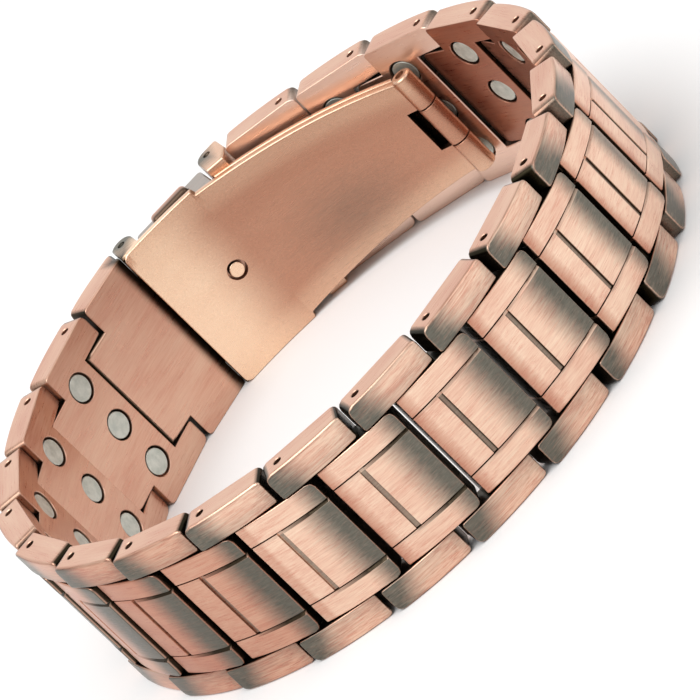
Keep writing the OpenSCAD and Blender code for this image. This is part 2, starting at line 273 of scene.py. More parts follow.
class Loop:
    """The closed loop: the places of the link pins, the ears and the frames between them."""

    def __init__(self, plan: BandPlan) -> None:
        """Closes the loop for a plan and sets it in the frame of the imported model.

        Args:
            plan: Sizes of the band.
        """
        self.plan = plan
        self.radius = self._closing_radius()
        self.ear_radius = self.radius + plan.ear_lift
        self.ear_angle = apart(self.ear_radius, self.ear_radius, plan.ear_span) / 2
        self.step = apart(self.radius, self.radius, plan.pitch)
        end_link = apart(self.ear_radius, self.radius, plan.end_link_l)
        self.first = math.pi / 2 + self.ear_angle + end_link
        low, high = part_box("clasp_pins")
        chord = self.ear_radius * math.cos(self.ear_angle)
        self.centre = ((low.x + high.x) / 2 / MM, (low.y + high.y) / 2 / MM - chord)
        self.ear_right = self.at(self.ear_radius, math.pi / 2 - self.ear_angle)
        self.ear_left = self.at(self.ear_radius, math.pi / 2 + self.ear_angle)

    def _whole_turn(self, r: float) -> float:
        """Gives the whole turn round the loop in radians.

        Args:
            r: Radius at which the link pins lie.

        Returns:
            The turn, which is 2 pi where the loop closes.
        """
        p = self.plan
        return (
            (p.link_count - 1) * apart(r, r, p.pitch)
            + apart(r, r + p.ear_lift, p.pitch)
            + apart(r + p.ear_lift, r + p.ear_lift, p.ear_span)
            + apart(r + p.ear_lift, r, p.end_link_l)
        )

    def _closing_radius(self) -> float:
        """Finds the radius at which the loop closes, by halving the range that holds it.

        Returns:
            The radius on which the link pins lie.
        """
        # A circle's radius lies between an eighth and a quarter of its girth.
        girth = self.plan.link_count * self.plan.pitch
        low, high = girth / 8, girth / 4
        for _ in range(HALVINGS):
            mid = (low + high) / 2
            low, high = (mid, high) if self._whole_turn(mid) > 2 * math.pi else (low, mid)
        return (low + high) / 2

    def at(self, r: float, angle: float) -> Point2:
        """Gives the point at a radius and an angle round the loop's centre."""
        return self.centre[0] + r * math.cos(angle), self.centre[1] + r * math.sin(angle)

    def pin(self, k: int) -> Point2:
        """Gives the place of a link's own pin.

        Args:
            k: Number of the link, where one more than the last stands for the right ears.

        Returns:
            The place on the loop.
        """
        if k > self.plan.link_count:
            return self.ear_right
        return self.at(self.radius, self.first + (k - 1) * self.step)

    def link_seat(self, k: int) -> Seat:
        """Gives the frame of a link, from its own pin towards the next."""
        return seat_between(self.pin(k), self.pin(k + 1))

    def end_link_seat(self) -> Seat:
        """Gives the frame of the end link, from the left ears towards the first link."""
        return seat_between(self.ear_left, self.pin(1))

    def catch_seat(self) -> Seat:
        """Gives the frame of the catch, from the right ears to the left ears."""
        return seat_between(self.ear_right, self.ear_left)


# Meshes in millimetres


def arc_levels(radius: float, steps: int = EDGE_FACETS) -> list[Point2]:
    """Lists a round edge's levels, from the outline in: inset and drop below the face."""
    turns = [math.pi / 2 * k / steps for k in range(steps + 1)]
    return [(radius * (1 - math.cos(a)), radius * (1 - math.sin(a))) for a in turns]


@dataclass
class Draft:
    """A mesh under construction, in millimetres."""

    points: list[Point3] = field(default_factory=list)
    faces: list[tuple[int, ...]] = field(default_factory=list)

    def add(self, point: Point3) -> int:
        """Adds a point and gives its number."""
        self.points.append(point)
        return len(self.points) - 1

    def ring(self, points: Iterable[Point3]) -> list[int]:
        """Adds a row of points and gives their numbers."""
        return [self.add(p) for p in points]

    def bridge(self, a: Sequence[int], b: Sequence[int]) -> None:
        """Joins two closed rings with quads.

        Args:
            a: Numbers of the first ring's points.
            b: Numbers of the second ring's points, as many.
        """
        n = len(a)
        for i in range(n):
            j = (i + 1) % n
            self.faces.append((a[i], a[j], b[j], b[i]))

    def cap(self, ring: Sequence[int]) -> None:
        """Closes a ring with one face."""
        self.faces.append(tuple(ring))

    def grid(self, rows: Sequence[Sequence[int]]) -> None:
        """Joins rows of points with quads.

        Args:
            rows: Numbers of the points of each row, all rows equally long.
        """
        for a, b in zip(rows, rows[1:]):
            for i in range(len(a) - 1):
                self.faces.append((a[i], a[i + 1], b[i + 1], b[i]))

    def part(self, name: str) -> Part:
        """Makes a closed object of the draft, with its normals outwards.

        Args:
            name: Name of the object.

        Returns:
            The object, still in millimetres.
        """
        mesh = bpy.data.meshes.new(name)
        mesh.from_pydata(self.points, [], self.faces)
        shape = bmesh.new()
        shape.from_mesh(mesh)
        bmesh.ops.remove_doubles(shape, verts=shape.verts, dist=WELD)
        bmesh.ops.recalc_face_normals(shape, faces=shape.faces)
        shape.to_mesh(mesh)
        shape.free()
        part = bpy.data.objects.new(name, mesh)
        bpy.context.scene.collection.objects.link(part)
        return part


def combine(base: Part, tools: Sequence[Part], cut: Cut) -> None:
    """Adds tools to a part, or takes them from it, and removes the tools.

    Args:
        base: The part that is changed.
        tools: Closed objects in the same frame.
        cut: Whether they are added or taken away.
    """
    shelf = bpy.data.collections.new("tools")
    bpy.context.scene.collection.children.link(shelf)
    for tool in tools:
        bpy.context.scene.collection.objects.unlink(tool)
        shelf.objects.link(tool)
    step = base.modifiers.new("combine", "BOOLEAN")
    step.operand_type = "COLLECTION"
    step.collection = shelf
    step.operation = cut.value
    step.solver = "MANIFOLD"
    graph = bpy.context.evaluated_depsgraph_get()
    mesh = bpy.data.meshes.new_from_object(base.evaluated_get(graph))
    base.modifiers.clear()
    base.data = mesh
    for tool in list(shelf.objects):
        bpy.data.objects.remove(tool)
    bpy.data.collections.remove(shelf)


def slice_along(part: Part, axis: int, places: Iterable[float]) -> None:
    """Adds edge loops where a part crosses planes, so that shading can change there.

    Args:
        part: The part.
        axis: Axis that the planes are square to.
        places: Places of the planes on it.
    """
    normal = Vector([float(k == axis) for k in range(3)])
    shape = bmesh.new()
    shape.from_mesh(part.data)
    for place in places:
        everything = [*shape.verts, *shape.edges, *shape.faces]
        bmesh.ops.bisect_plane(
            shape, geom=everything, dist=ON_PLANE, plane_co=normal * place, plane_no=normal
        )
    shape.to_mesh(part.data)
    shape.free()


def moved(part: Part, matrix: Matrix) -> Part:
    """Moves a part's mesh and gives the part back."""
    part.data.transform(matrix)
    return part


@dataclass(frozen=True)
class Groove:
    """A groove with an eased high edge and, on its low side, a facet that can deepen along it."""

    low: float
    high: float
    depth: float
    chamfer: float = 0.06
    facet: float = 0.06
    lip: float = 0.03
    growth: float = 0.0
    slope: float = 0.03
    slope_share: float = 0.75
    wall: float = 0.05
    shade: float = 0.08
    crease: float = 0.03

    @property
    def facet_start(self) -> float:
        """Where the facet starts."""
        return self.low - self.facet

    @property
    def facet_line(self) -> float:
        """Where the crease at the start of the facet ends."""
        return self.facet_start + self.crease

    @property
    def floor_start(self) -> float:
        """Where the groove's floor starts."""
        return self.low + self.wall

    @property
    def floor_end(self) -> float:
        """Where the groove's floor ends."""
        return self.high - self.wall

    def lines(self) -> list[float]:
        """Lists the places where the groove's section bends or its shading changes.

        Returns:
            The places, from the low side to the high side.
        """
        mid = (self.low + self.high) / 2
        return [
            self.facet_start, self.facet_line,
            self.low, self.low + self.slope, self.floor_start,
            min(self.floor_start + self.shade, mid), max(self.floor_end - self.shade, mid),
            self.floor_end, self.high - self.slope, self.high, self.high + self.chamfer,
        ]

    def depth_at(self, place: float, share: float = 0.0) -> float:
        """Gives the groove's depth.

        Args:
            place: Place across the groove.
            share: Share of the way along it, from 0 to 1.

        Returns:
            The depth below the face.
        """
        lip, steep = self.lip + self.growth * share * share, self.slope_share * self.depth
        start = lip * self.crease / self.facet
        depths = [0, start, lip, max(lip, steep)] + 4 * [self.depth] + [steep, self.lip, 0]
        return float(np.interp(place, self.lines(), depths))

    def floor_shade(self, place: float) -> float:
        """Gives 1 beside the groove's walls and 0 on the middle of its floor."""
        return 1 - step(0.0, self.shade, min(place - self.floor_start, self.floor_end - place))

    def on_facet(self, place: float) -> bool:
        """Tells whether a place across the groove lies on its facet."""
        return self.facet_start + self.crease / 2 < place < self.low + SLACK


@dataclass(frozen=True)
class GridLine:
    """A line of a bar's grid: a distance inside its start or end, or a place in its middle part."""

    zone: Zone
    value: float

    def share(self, low: float, high: float) -> float:
        """Gives how far across the bar the line lies.

        Args:
            low: Where the bar starts.
            high: Where the bar ends.

        Returns:
            The share, from 0 to 1.
        """
        if self.zone is Zone.CORE:
            return (self.value - low) / (high - low)
        return 0.0 if self.zone is Zone.START else 1.0


@dataclass(frozen=True)
class Corners:
    """Radii of a bar's four corners, at its start and end and on its low and high side."""

    start_low: float = 0.3
    start_high: float = 0.3
    end_low: float = 0.3
    end_high: float = 0.3

    def at(self, along: float, across: float) -> float:
        """Gives the radius that a place of the bar takes.

        Args:
            along: Place along the bar, from 0 to 1.
            across: Place across it, from 0 to 1.

        Returns:
            The radius.
        """
        low = self.start_low + (self.end_low - self.start_low) * along
        high = self.start_high + (self.end_high - self.start_high) * along
        return low + (high - low) * across

    @property
    def widest(self) -> float:
        """The largest of the four."""
        return max(self.start_low, self.start_high, self.end_low, self.end_high)

    def mirrored(self) -> "Corners":
        """Gives the corners of the bar on the band's other side."""
        return Corners(self.start_high, self.start_low, self.end_high, self.end_low)


@dataclass(frozen=True)
class CrownedBar:
    """A bar of the band with a crowned outer face, round corners and soft edges."""

    plan: BandPlan
    s0: float
    s1: float
    z0: float
    z1: float
    corners: Corners = Corners()
    outer_edge: float = 0.16
    low_edge: float = 0.16
    high_edge: float = 0.16
    inner_edge: float = 0.14
    flare: float = 0.0
    shadow_line: float = 0.12
    along: tuple[Groove, ...] = ()
    across: tuple[Groove, ...] = ()
    dip: float = 0.0
    dip_start: float = 0.5
    spacing: float = 0.5

    def crown_at(self, s: float) -> float:
        """Gives the height of the crowned outer face.

        Args:
            s: Place along the bar.

        Returns:
            The height.
        """
        half = (self.s1 - self.s0) / 2
        r = (half * half + self.plan.crown**2) / (2 * self.plan.crown)
        mid = (self.s0 + self.s1) / 2
        return self.plan.crown_y + r - math.sqrt(max(r * r - (s - mid) ** 2, 0))

    def share(self, s: float, start: float = 0.0) -> float:
        """Gives how far along the bar a place is, 0 at a share of its length and 1 at its end."""
        return step(start, 1.0, (s - self.s0) / (self.s1 - self.s0))

    def inset_at(self, s: float, z: float) -> float:
        """Gives the distance of a point inside the bar's outline.

        Args:
            s: Place along the bar.
            z: Place across it.

        Returns:
            The distance, 0 on the outline.
        """
        ds, dz = min(s - self.s0, self.s1 - s), min(z - self.z0, self.z1 - z)
        radius = self.corners.at(float(2 * s > self.s0 + self.s1), float(2 * z > self.z0 + self.z1))
        if ds < radius and dz < radius:
            return radius - math.hypot(radius - ds, radius - dz)
        return min(ds, dz)

    def on_panel(self, z: float) -> bool:
        """Tells whether a place across the bar lies between its long grooves."""
        return bool(self.along) and self.along[0].floor_end <= z <= self.along[-1].floor_start

    def dip_at(self, s: float, z: float) -> float:
        """Gives how far the panel between the long grooves falls away towards the bar's end."""
        return self.dip * self.share(s, self.dip_start) ** 2 if self.on_panel(z) else 0.0

    def groove_at(self, s: float, z: float) -> float:
        """Gives the depth of the grooves at a point of the outer face.

        Args:
            s: Place along the bar.
            z: Place across it.

        Returns:
            The depth, 0 off the grooves.
        """
        depth = max((g.depth_at(z, self.share(s)) for g in self.along), default=0.0)
        if self.across and self.on_panel(z):
            depth = max(depth, max(g.depth_at(s) for g in self.across))
        return depth

    def _lines(
        self, low: float, high: float, middle: Iterable[float], first: float, last: float
    ) -> list[GridLine]:
        """Lists the grid lines of one direction, from one side to the other.

        Args:
            low: Where the middle part starts.
            high: Where it ends.
            middle: Places of the lines in it.
            first: Radius of the edge at the start.
            last: Radius of the edge at the end.

        Returns:
            The lines.
        """
        starts = [GridLine(Zone.START, d) for d, _ in arc_levels(first)]
        middles = [GridLine(Zone.CORE, v) for v in sorted(set(middle)) if low < v < high]
        ends = [GridLine(Zone.END, d) for d, _ in arc_levels(last)]
        deepest = [GridLine(zone, math.inf) for zone in (Zone.START, Zone.END)]
        return [*starts, deepest[0], *middles, deepest[1], *ends[::-1]]

    def _plan_point(self, ls: GridLine, lz: GridLine) -> tuple[float, float, float, float, float]:
        """Gives where two grid lines cross on the outline's plane.

        Args:
            ls: Line across the bar.
            lz: Line along the bar.

        Returns:
            The point's s and z, its distance inside the outline, and the outline's normal there.
        """
        sign_s = -1 if ls.zone is Zone.START else 1
        sign_z = -1 if lz.zone is Zone.START else 1
        end_s = self.s0 if ls.zone is Zone.START else self.s1
        end_z = self.z0 if lz.zone is Zone.START else self.z1
        radius = self.corners.at(ls.share(self.s0, self.s1), lz.share(self.z0, self.z1))
        if ls.zone is Zone.CORE:
            if lz.zone is Zone.CORE:
                return ls.value, lz.value, math.inf, 0, 0
            inset = min(lz.value, radius)
            return ls.value, end_z - sign_z * inset, inset, 0, sign_z
        if lz.zone is Zone.CORE:
            inset = min(ls.value, radius)
            return end_s - sign_s * inset, lz.value, inset, sign_s, 0
        u = 1 - min(ls.value, radius) / radius
        v = 1 - min(lz.value, radius) / radius
        reach = max(u, v)
        turn = 0.0 if reach == 0 else math.pi / 4 * (v / u if u >= v else 2 - u / v)
        ns, nz = sign_s * math.cos(turn), sign_z * math.sin(turn)
        s = end_s - sign_s * radius + ns * radius * reach
        z = end_z - sign_z * radius + nz * radius * reach
        return s, z, radius * (1 - reach), ns, nz

    def part(self, name: str) -> Part:
        """Makes the bar as a closed object.

        Args:
            name: Name of the object.

        Returns:
            The object, in the bar's own frame.
        """
        widest = self.corners.widest
        start, end = self.s0 + widest, self.s1 - widest
        count = max(int((end - start) / self.spacing), 1)
        middle_s = [start + (end - start) * (k + 0.5) / count for k in range(count)]
        middle_s += [line for g in self.across for line in g.lines()]
        middle_z = [line for g in self.along for line in g.lines()]
        lines_s = self._lines(start, end, middle_s, self.outer_edge, self.outer_edge)
        low, high = self.z0 + widest, self.z1 - widest
        lines_z = self._lines(low, high, middle_z, self.low_edge, self.high_edge)
        draft = Draft()
        rows, plans = [], {}
        for ls in lines_s:
            row = []
            for lz in lines_z:
                s, z, inset, ns, nz = self._plan_point(ls, lz)
                side = self.low_edge if nz < 0 else self.high_edge
                edge = self.outer_edge * ns * ns + side * nz * nz
                lift = max(edge - inset, 0)
                drop = edge - math.sqrt(edge**2 - lift**2)
                face = self.crown_at(s) + self.dip_at(s, z)
                flared = s + self.flare * (2 * (s - self.s0) / (self.s1 - self.s0) - 1)
                number = draft.add((flared, face + drop + self.groove_at(s, z), z))
                plans[number] = (s, z, ns, nz)
                row.append(number)
            rows.append(row)
        draft.grid(rows)
        rim = rows[0] + [r[-1] for r in rows[1:]] + rows[-1][-2::-1] + [r[0] for r in rows[-2:0:-1]]
        upper = (draft.points[i] for i in rim)
        last = draft.ring((x, y + self.shadow_line, z) for x, y, z in upper)
        draft.bridge(rim, last)
        for inset, drop in arc_levels(self.inner_edge):
            height = self.plan.inner_y - drop
            feet = (plans[i] for i in rim)
            ring = draft.ring((s - ns * inset, height, z - nz * inset) for s, z, ns, nz in feet)
            draft.bridge(last, ring)
            last = ring
        draft.cap(last)
        return draft.part(name)


@dataclass(frozen=True)
class Lathe:
    """A turned part: a profile of radii and heights, closed at both ends."""

    profile: tuple[Point2, ...]
    sides: int = 40

    def part(self, name: str, seat: Matrix | None = None) -> Part:
        """Makes the turned part round the z axis of its seat.

        Args:
            name: Name of the object.
            seat: Matrix that moves it to its place.

        Returns:
            The object.
        """
        draft = Draft()
        turns = [2 * math.pi * k / self.sides for k in range(self.sides)]
        rings = [
            draft.ring((r * math.cos(a), r * math.sin(a), h) for a in turns)
            for r, h in self.profile
        ]
        for a, b in zip(rings, rings[1:]):
            draft.bridge(a, b)
        draft.cap(rings[0])
        draft.cap(rings[-1])
        part = draft.part(name)
        return moved(part, seat) if seat else part


def bore(name: str, radius: float, low: float, high: float, sides: int, seat: Matrix) -> Part:
    """Makes the tool of a straight round hole."""
    return Lathe(((radius, low), (radius, high)), sides).part(name, seat)


def towards_wrist(s: float, y: float, z: float) -> Matrix:
    """Gives the seat of a turned part whose axis runs from the outer face to the inner one."""
    return Matrix.Translation((s, y, z)) @ Matrix.Rotation(-math.pi / 2, 4, "X")


def disc_profile(
    radius: float, low: float, high: float, edge_low: float, edge_high: float
) -> tuple[Point2, ...]:
    """Lists the profile of a disc or a bar with round edges.

    Args:
        radius: Radius of the disc.
        low: Height of its lower face.
        high: Height of its upper face.
        edge_low: Radius of the lower edge.
        edge_high: Radius of the upper edge.

    Returns:
        Pairs of radius and height, from the lower face to the upper.
    """
    lower = [(radius - inset, low + drop) for inset, drop in arc_levels(edge_low)][::-1]
    upper = [(radius - inset, high - drop) for inset, drop in arc_levels(edge_high)]
    bottom = lower if edge_low else [(radius, low)]
    top = upper if edge_high else [(radius, high)]
    return tuple(bottom + top)


@dataclass(frozen=True)
class Plate:
    """A flat outline that is raised along z, with round edges at both ends."""

    outline: tuple[Point2, ...]
    z0: float
    z1: float
    edge: float = 0.14

    def _normals(self) -> list[Point2]:
        """Works out how each corner moves as the outline grows by one.

        Returns:
            The corners' moves.
        """
        n = len(self.outline)
        shifted = self.outline[-1:] + self.outline[:-1]
        area = sum(ax * by - bx * ay for (ax, ay), (bx, by) in zip(shifted, self.outline))
        side = 1 if area > 0 else -1
        sides = []
        for i in range(n):
            (ax, ay), (bx, by) = self.outline[i], self.outline[(i + 1) % n]
            length = math.hypot(bx - ax, by - ay)
            sides.append(((by - ay) / length * side, (ax - bx) / length * side))
        corners = []
        for i in range(n):
            (ax, ay), (bx, by) = sides[i - 1], sides[i]
            sx, sy = ax + bx, ay + by
            scale = 2 / (sx * sx + sy * sy)
            corners.append((sx * scale, sy * scale))
        return corners

    def part(self, name: str) -> Part:
        """Makes the plate as a closed object.

        Args:
            name: Name of the object.

        Returns:
            The object.
        """
        draft = Draft()
        normals = self._normals()
        levels = [(inset, self.z0 + drop) for inset, drop in arc_levels(self.edge)][::-1]
        levels += [(inset, self.z1 - drop) for inset, drop in arc_levels(self.edge)]
        rings = [
            draft.ring(
                (x - nx * inset, y - ny * inset, z)
                for (x, y), (nx, ny) in zip(self.outline, normals)
            )
            for inset, z in levels
        ]
        for a, b in zip(rings, rings[1:]):
            draft.bridge(a, b)
        draft.cap(rings[0])
        draft.cap(rings[-1])
        return draft.part(name)


def box_part(name: str, low: Point3, high: Point3) -> Part:
    """Makes a plain box, used as a tool of a boolean step.

    Args:
        name: Name of the object.
        low: Its corner with the lowest values.
        high: Its corner with the highest values.

    Returns:
        The box.
    """
    (x0, y0, z0), (x1, y1, z1) = low, high
    draft = Draft()
    rings = [draft.ring(((x0, y0, z), (x1, y0, z), (x1, y1, z), (x0, y1, z))) for z in (z0, z1)]
    draft.bridge(rings[0], rings[1])
    draft.cap(rings[0])
    draft.cap(rings[1])
    return draft.part(name)


def arc_points(
    cx: float, cy: float, r: float, start: float, end: float, steps: int
) -> list[Point2]:
    """Lists points along an arc, from one angle in degrees to another."""
    turns = [math.radians(start + (end - start) * k / steps) for k in range(steps + 1)]
    return [(cx + r * math.cos(a), cy + r * math.sin(a)) for a in turns]


def clipped(outline: Sequence[Point2], keep: Callable[[float, float], float]) -> list[Point2]:
    """Cuts an outline by a straight line.

    Args:
        outline: The outline's corners.
        keep: A function that is positive on the side that stays, and linear.

    Returns:
        The corners of what stays.
    """
    out = []
    for i, b in enumerate(outline):
        a = outline[i - 1]
        fa, fb = keep(*a), keep(*b)
        if (fa > 0) != (fb > 0):
            t = fa / (fa - fb)
            out.append((a[0] + (b[0] - a[0]) * t, a[1] + (b[1] - a[1]) * t))
        if fb > 0:
            out.append(b)
    return out


# Finishes


@dataclass(frozen=True)
class WearAndShade:
    """Patina, brush marks and painted light and shade, at each point or all over.

    It holds grey patina that is partly a painted dark reflection, near-black painted shade, a
    rose tint whose depth also stands for shade and light, a painted sheen, and the strength of
    the brush marks.
    """

    patina_and_shade: Shade = 0.0
    painted_shade: Shade = 0.0
    rose_and_shade: Shade = 0.0
    brush: Shade = 0.0
    pale: Shade = 0.0


WearAndShadeRule = Callable[[np.ndarray], WearAndShade]


def smooth(low: float, high: float, value: np.ndarray) -> np.ndarray:
    """Gives a smooth step from 0 at one value to 1 at another."""
    t = np.clip((value - low) / (high - low), 0, 1)
    return t * t * (3 - 2 * t)


def step(low: float, high: float, value: float) -> float:
    """Gives an even step from 0 at one value to 1 at another."""
    return min(max((value - low) / (high - low), 0.0), 1.0)


@dataclass(frozen=True)
class Grain:
    """A noise of a finish: its scale along each axis of the piece, its detail and its roughness."""

    scale: Point3
    detail: float
    rough: float


class Finish:
    """A procedural material whose nodes read the piece's own place in millimetres."""

    def __init__(self, name: str) -> None:
        """Starts a material with an empty principled shader.

        Args:
            name: Name of the material.
        """
        self.material = bpy.data.materials.new(name)
        self.material.use_nodes = True
        self.tree = self.material.node_tree
        self.shader = self.tree.nodes["Principled BSDF"]

    def node(self, kind: str, **values: object) -> bpy.types.Node:
        """Adds a node and sets its properties.

        Args:
            kind: Kind of the node.
            values: Its properties by name.

        Returns:
            The node.
        """
        made = self.tree.nodes.new(kind)
        for key, value in values.items():
            setattr(made, key, value)
        return made

    def link(self, out: Socket, into: Socket) -> None:
        """Joins two sockets."""
        self.tree.links.new(out, into)

    def attribute(self, name: str) -> bpy.types.Node:
        """Adds a node that reads an attribute of the mesh."""
        return self.node("ShaderNodeAttribute", attribute_name=name)

    def noise(self, place: Socket, seed: Socket, grain: Grain) -> Socket:
        """Adds a noise over the piece's own place, shifted by the piece's seed.

        Args:
            place: The piece's own place.
            seed: The piece's seed.
            grain: Scale, detail and roughness of the noise.

        Returns:
            The noise.
        """
        shifted = self.node("ShaderNodeVectorMath", operation="MULTIPLY_ADD")
        self.link(place, shifted.inputs[0])
        shifted.inputs[1].default_value = grain.scale
        self.link(seed, shifted.inputs[2])
        made = self.node("ShaderNodeTexNoise", noise_dimensions="3D")
        made.inputs["Scale"].default_value = 1.0
        made.inputs["Detail"].default_value = grain.detail
        made.inputs["Roughness"].default_value = grain.rough
        self.link(shifted.outputs["Vector"], made.inputs["Vector"])
        return made.outputs["Fac"]

    def math(self, operation: str, a: object, b: object, c: object = None) -> Socket:
        """Adds a maths node whose inputs are sockets or numbers.

        Args:
            operation: What the node works out.
            a: First input.
            b: Second input.
            c: Third input, where the operation has one.

        Returns:
            The result.
        """
        made = self.node("ShaderNodeMath", operation=operation)
        for socket, value in zip(made.inputs, (a, b, c)):
            if isinstance(value, Socket):
                self.link(value, socket)
            elif value is not None:
                socket.default_value = value
        return made.outputs["Value"]

    def ranged(self, value: Socket, span: Point2, to: Point2, shape: str = "SMOOTHSTEP") -> Socket:
        """Maps one range to another.

        Args:
            value: The value that is mapped.
            span: Range that it comes from.
            to: Range that it goes to.
            shape: Shape of the curve between them.

        Returns:
            The mapped value.
        """
        made = self.node("ShaderNodeMapRange", interpolation_type=shape)
        self.link(value, made.inputs["Value"])
        for key, number in zip(("From Min", "From Max", "To Min", "To Max"), (*span, *to)):
            made.inputs[key].default_value = number
        return made.outputs["Result"]

    def ramp(self, value: Socket, stops: Iterable[tuple[float, Point3]]) -> Socket:
        """Adds a colour ramp.

        Args:
            value: The value that it reads.
            stops: Places and colours of its stops, two or more.

        Returns:
            The colour.
        """
        made = self.node("ShaderNodeValToRGB")
        band, stops = made.color_ramp, list(stops)
        while len(band.elements) < len(stops):
            band.elements.new(0.5)
        for element, (place, colour) in zip(band.elements, stops):
            element.position = place
            element.color = (*colour, 1)
        self.link(value, made.inputs["Fac"])
        return made.outputs["Color"]

    def mixed(self, share: object, a: object, b: object, blend: str = "MIX") -> Socket:
        """Mixes two colours, each a socket or a colour.

        Args:
            share: Share of the second, a socket or a number.
            a: First colour.
            b: Second colour.
            blend: How they are mixed.

        Returns:
            The mixed colour.
        """
        made = self.node("ShaderNodeMix", data_type="RGBA", blend_type=blend)
        for key, value in ((0, share), (6, a), (7, b)):
            if isinstance(value, Socket):
                self.link(value, made.inputs[key])
            else:
                made.inputs[key].default_value = value if isinstance(value, float) else (*value, 1)
        return made.outputs[2]

    def roughen(self, noise: Socket, rough: float, spread: float) -> None:
        """Lets the shader's roughness follow a noise, up and down from a middle value."""
        value = self.ranged(noise, NOISE_SPAN, (rough - spread, rough + spread))
        self.link(value, self.shader.inputs["Roughness"])

    def bump(self, height: Socket, strength: float) -> None:
        """Adds a bump to the shader.

        Args:
            height: Height of the surface.
            strength: How much of it shows.
        """
        made = self.node("ShaderNodeBump")
        made.inputs["Strength"].default_value = strength
        made.inputs["Distance"].default_value = RELIEF_DEPTH * MM
        self.link(height, made.inputs["Height"])
        self.link(made.outputs["Normal"], self.shader.inputs["Normal"])


@dataclass(frozen=True)
class BrushedCopper:
    """Brushed copper with grey patina and painted light and shade where its own values are high."""

    name: str
    deep: Point3 = (0.74, 0.42, 0.31)
    mid: Point3 = (0.86, 0.585, 0.44)
    pale: Point3 = (0.94, 0.72, 0.55)
    stops: Point3 = (0.34, 0.5, 0.66)
    # Rose tint that is multiplied in; its depth also stands for shade.
    rose_and_shade: Point3 = (0.55, 0.34, 0.29)
    # Painted sheen, a painted highlight where the piece's pale value is high.
    painted_sheen: Point3 = (0.95, 0.73, 0.62)
    # Grey patina, which partly stands for a painted dark reflection.
    patina_and_shade: Point3 = (0.088, 0.092, 0.077)
    fleck: float = 1.35
    # Near-black colour of the painted shade in gaps, slots, holes and grooves.
    painted_shade: Point3 = (0.026, 0.021, 0.012)
    fine: Grain = Grain((0.35, 6.5, 6.5), 5.0, 0.65)
    broad: Grain = Grain((0.12, 0.5, 0.5), 2.0, 0.5)
    streak: Grain = Grain((0.4, 6.0, 6.0), 4.0, 0.6)
    marks: float = 1.25
    least_marks: float = 0.25
    clouds: float = 0.35
    scatter: Point2 = (0.35, 0.3)
    patina_and_shade_span: Point2 = (0.03, 1.0)
    most_patina_and_shade: float = 0.95
    rough: float = 0.34
    rough_spread: float = 0.08
    relief: float = 0.05

    def material(self) -> bpy.types.Material:
        """Makes the material.

        Returns:
            The material.
        """
        f = Finish(self.name)
        place = f.attribute("local").outputs["Vector"]
        seed = f.attribute("seed").outputs["Vector"]
        brush = f.attribute("brush").outputs["Fac"]
        grains = self.fine, self.broad, self.streak
        fine, broad, streak = (f.noise(place, seed, grain) for grain in grains)
        contrast = f.math("MULTIPLY_ADD", brush, self.marks, self.least_marks * self.marks)
        cloudy = f.math("MULTIPLY_ADD", broad, self.clouds, 0.5 - self.clouds / 2)
        tone = f.math("MULTIPLY_ADD", f.math("SUBTRACT", fine, 0.5), contrast, cloudy)
        bright = f.ramp(tone, zip(self.stops, (self.deep, self.mid, self.pale)))
        # Rose tint, whose depth also stands for shade and light.
        rose_and_shade = f.attribute("rose_and_shade").outputs["Fac"]
        copper = f.mixed(rose_and_shade, bright, f.mixed(1.0, bright, self.rose_and_shade, "MULTIPLY"))
        # Painted sheen.
        copper = f.mixed(f.attribute("pale").outputs["Fac"], copper, self.painted_sheen)
        # Grey patina, partly a painted dark reflection, broken up along the brush streaks.
        dark = f.attribute("patina_and_shade").outputs["Fac"]
        scatter = f.math("MULTIPLY_ADD", brush, *self.scatter)
        uneven = f.math("MULTIPLY_ADD", f.math("SUBTRACT", streak, 0.5), scatter, dark)
        mask = f.ranged(uneven, self.patina_and_shade_span, (0.0, self.most_patina_and_shade), "LINEAR")
        flecks = f.ranged(fine, NOISE_SPAN, (0.0, 1.0))
        grey = f.mixed(flecks, self.patina_and_shade, tuple(self.fleck * c for c in self.patina_and_shade))
        aged = f.mixed(mask, copper, grey)
        # Painted shade, near black, over everything else.
        painted_shade = f.attribute("painted_shade").outputs["Fac"]
        f.link(f.mixed(painted_shade, aged, self.painted_shade), f.shader.inputs["Base Color"])
        f.roughen(fine, self.rough, self.rough_spread)
        f.shader.inputs["Metallic"].default_value = 1.0
        f.bump(fine, self.relief)
        return f.material


@dataclass(frozen=True)
class SatinMetal:
    """A satin metal with fine cloudy variation, for the magnets and the pins."""

    name: str
    low: Point3
    high: Point3
    stops: Point2 = (0.35, 0.65)
    rough: float = 0.3
    rough_spread: float = 0.06
    cloud: Grain = Grain((1.5, 1.5, 1.5), 4.0, 0.6)
    metallic: float = 1.0
    relief: float = 0.03

    def material(self) -> bpy.types.Material:
        """Makes the material.

        Returns:
            The material.
        """
        f = Finish(self.name)
        place = f.attribute("local").outputs["Vector"]
        seed = f.attribute("seed").outputs["Vector"]
        cloud = f.noise(place, seed, self.cloud)
        f.link(f.ramp(cloud, zip(self.stops, (self.low, self.high))), f.shader.inputs["Base Color"])
        f.roughen(cloud, self.rough, self.rough_spread)
        f.shader.inputs["Metallic"].default_value = self.metallic
        f.bump(cloud, self.relief)
        return f.material


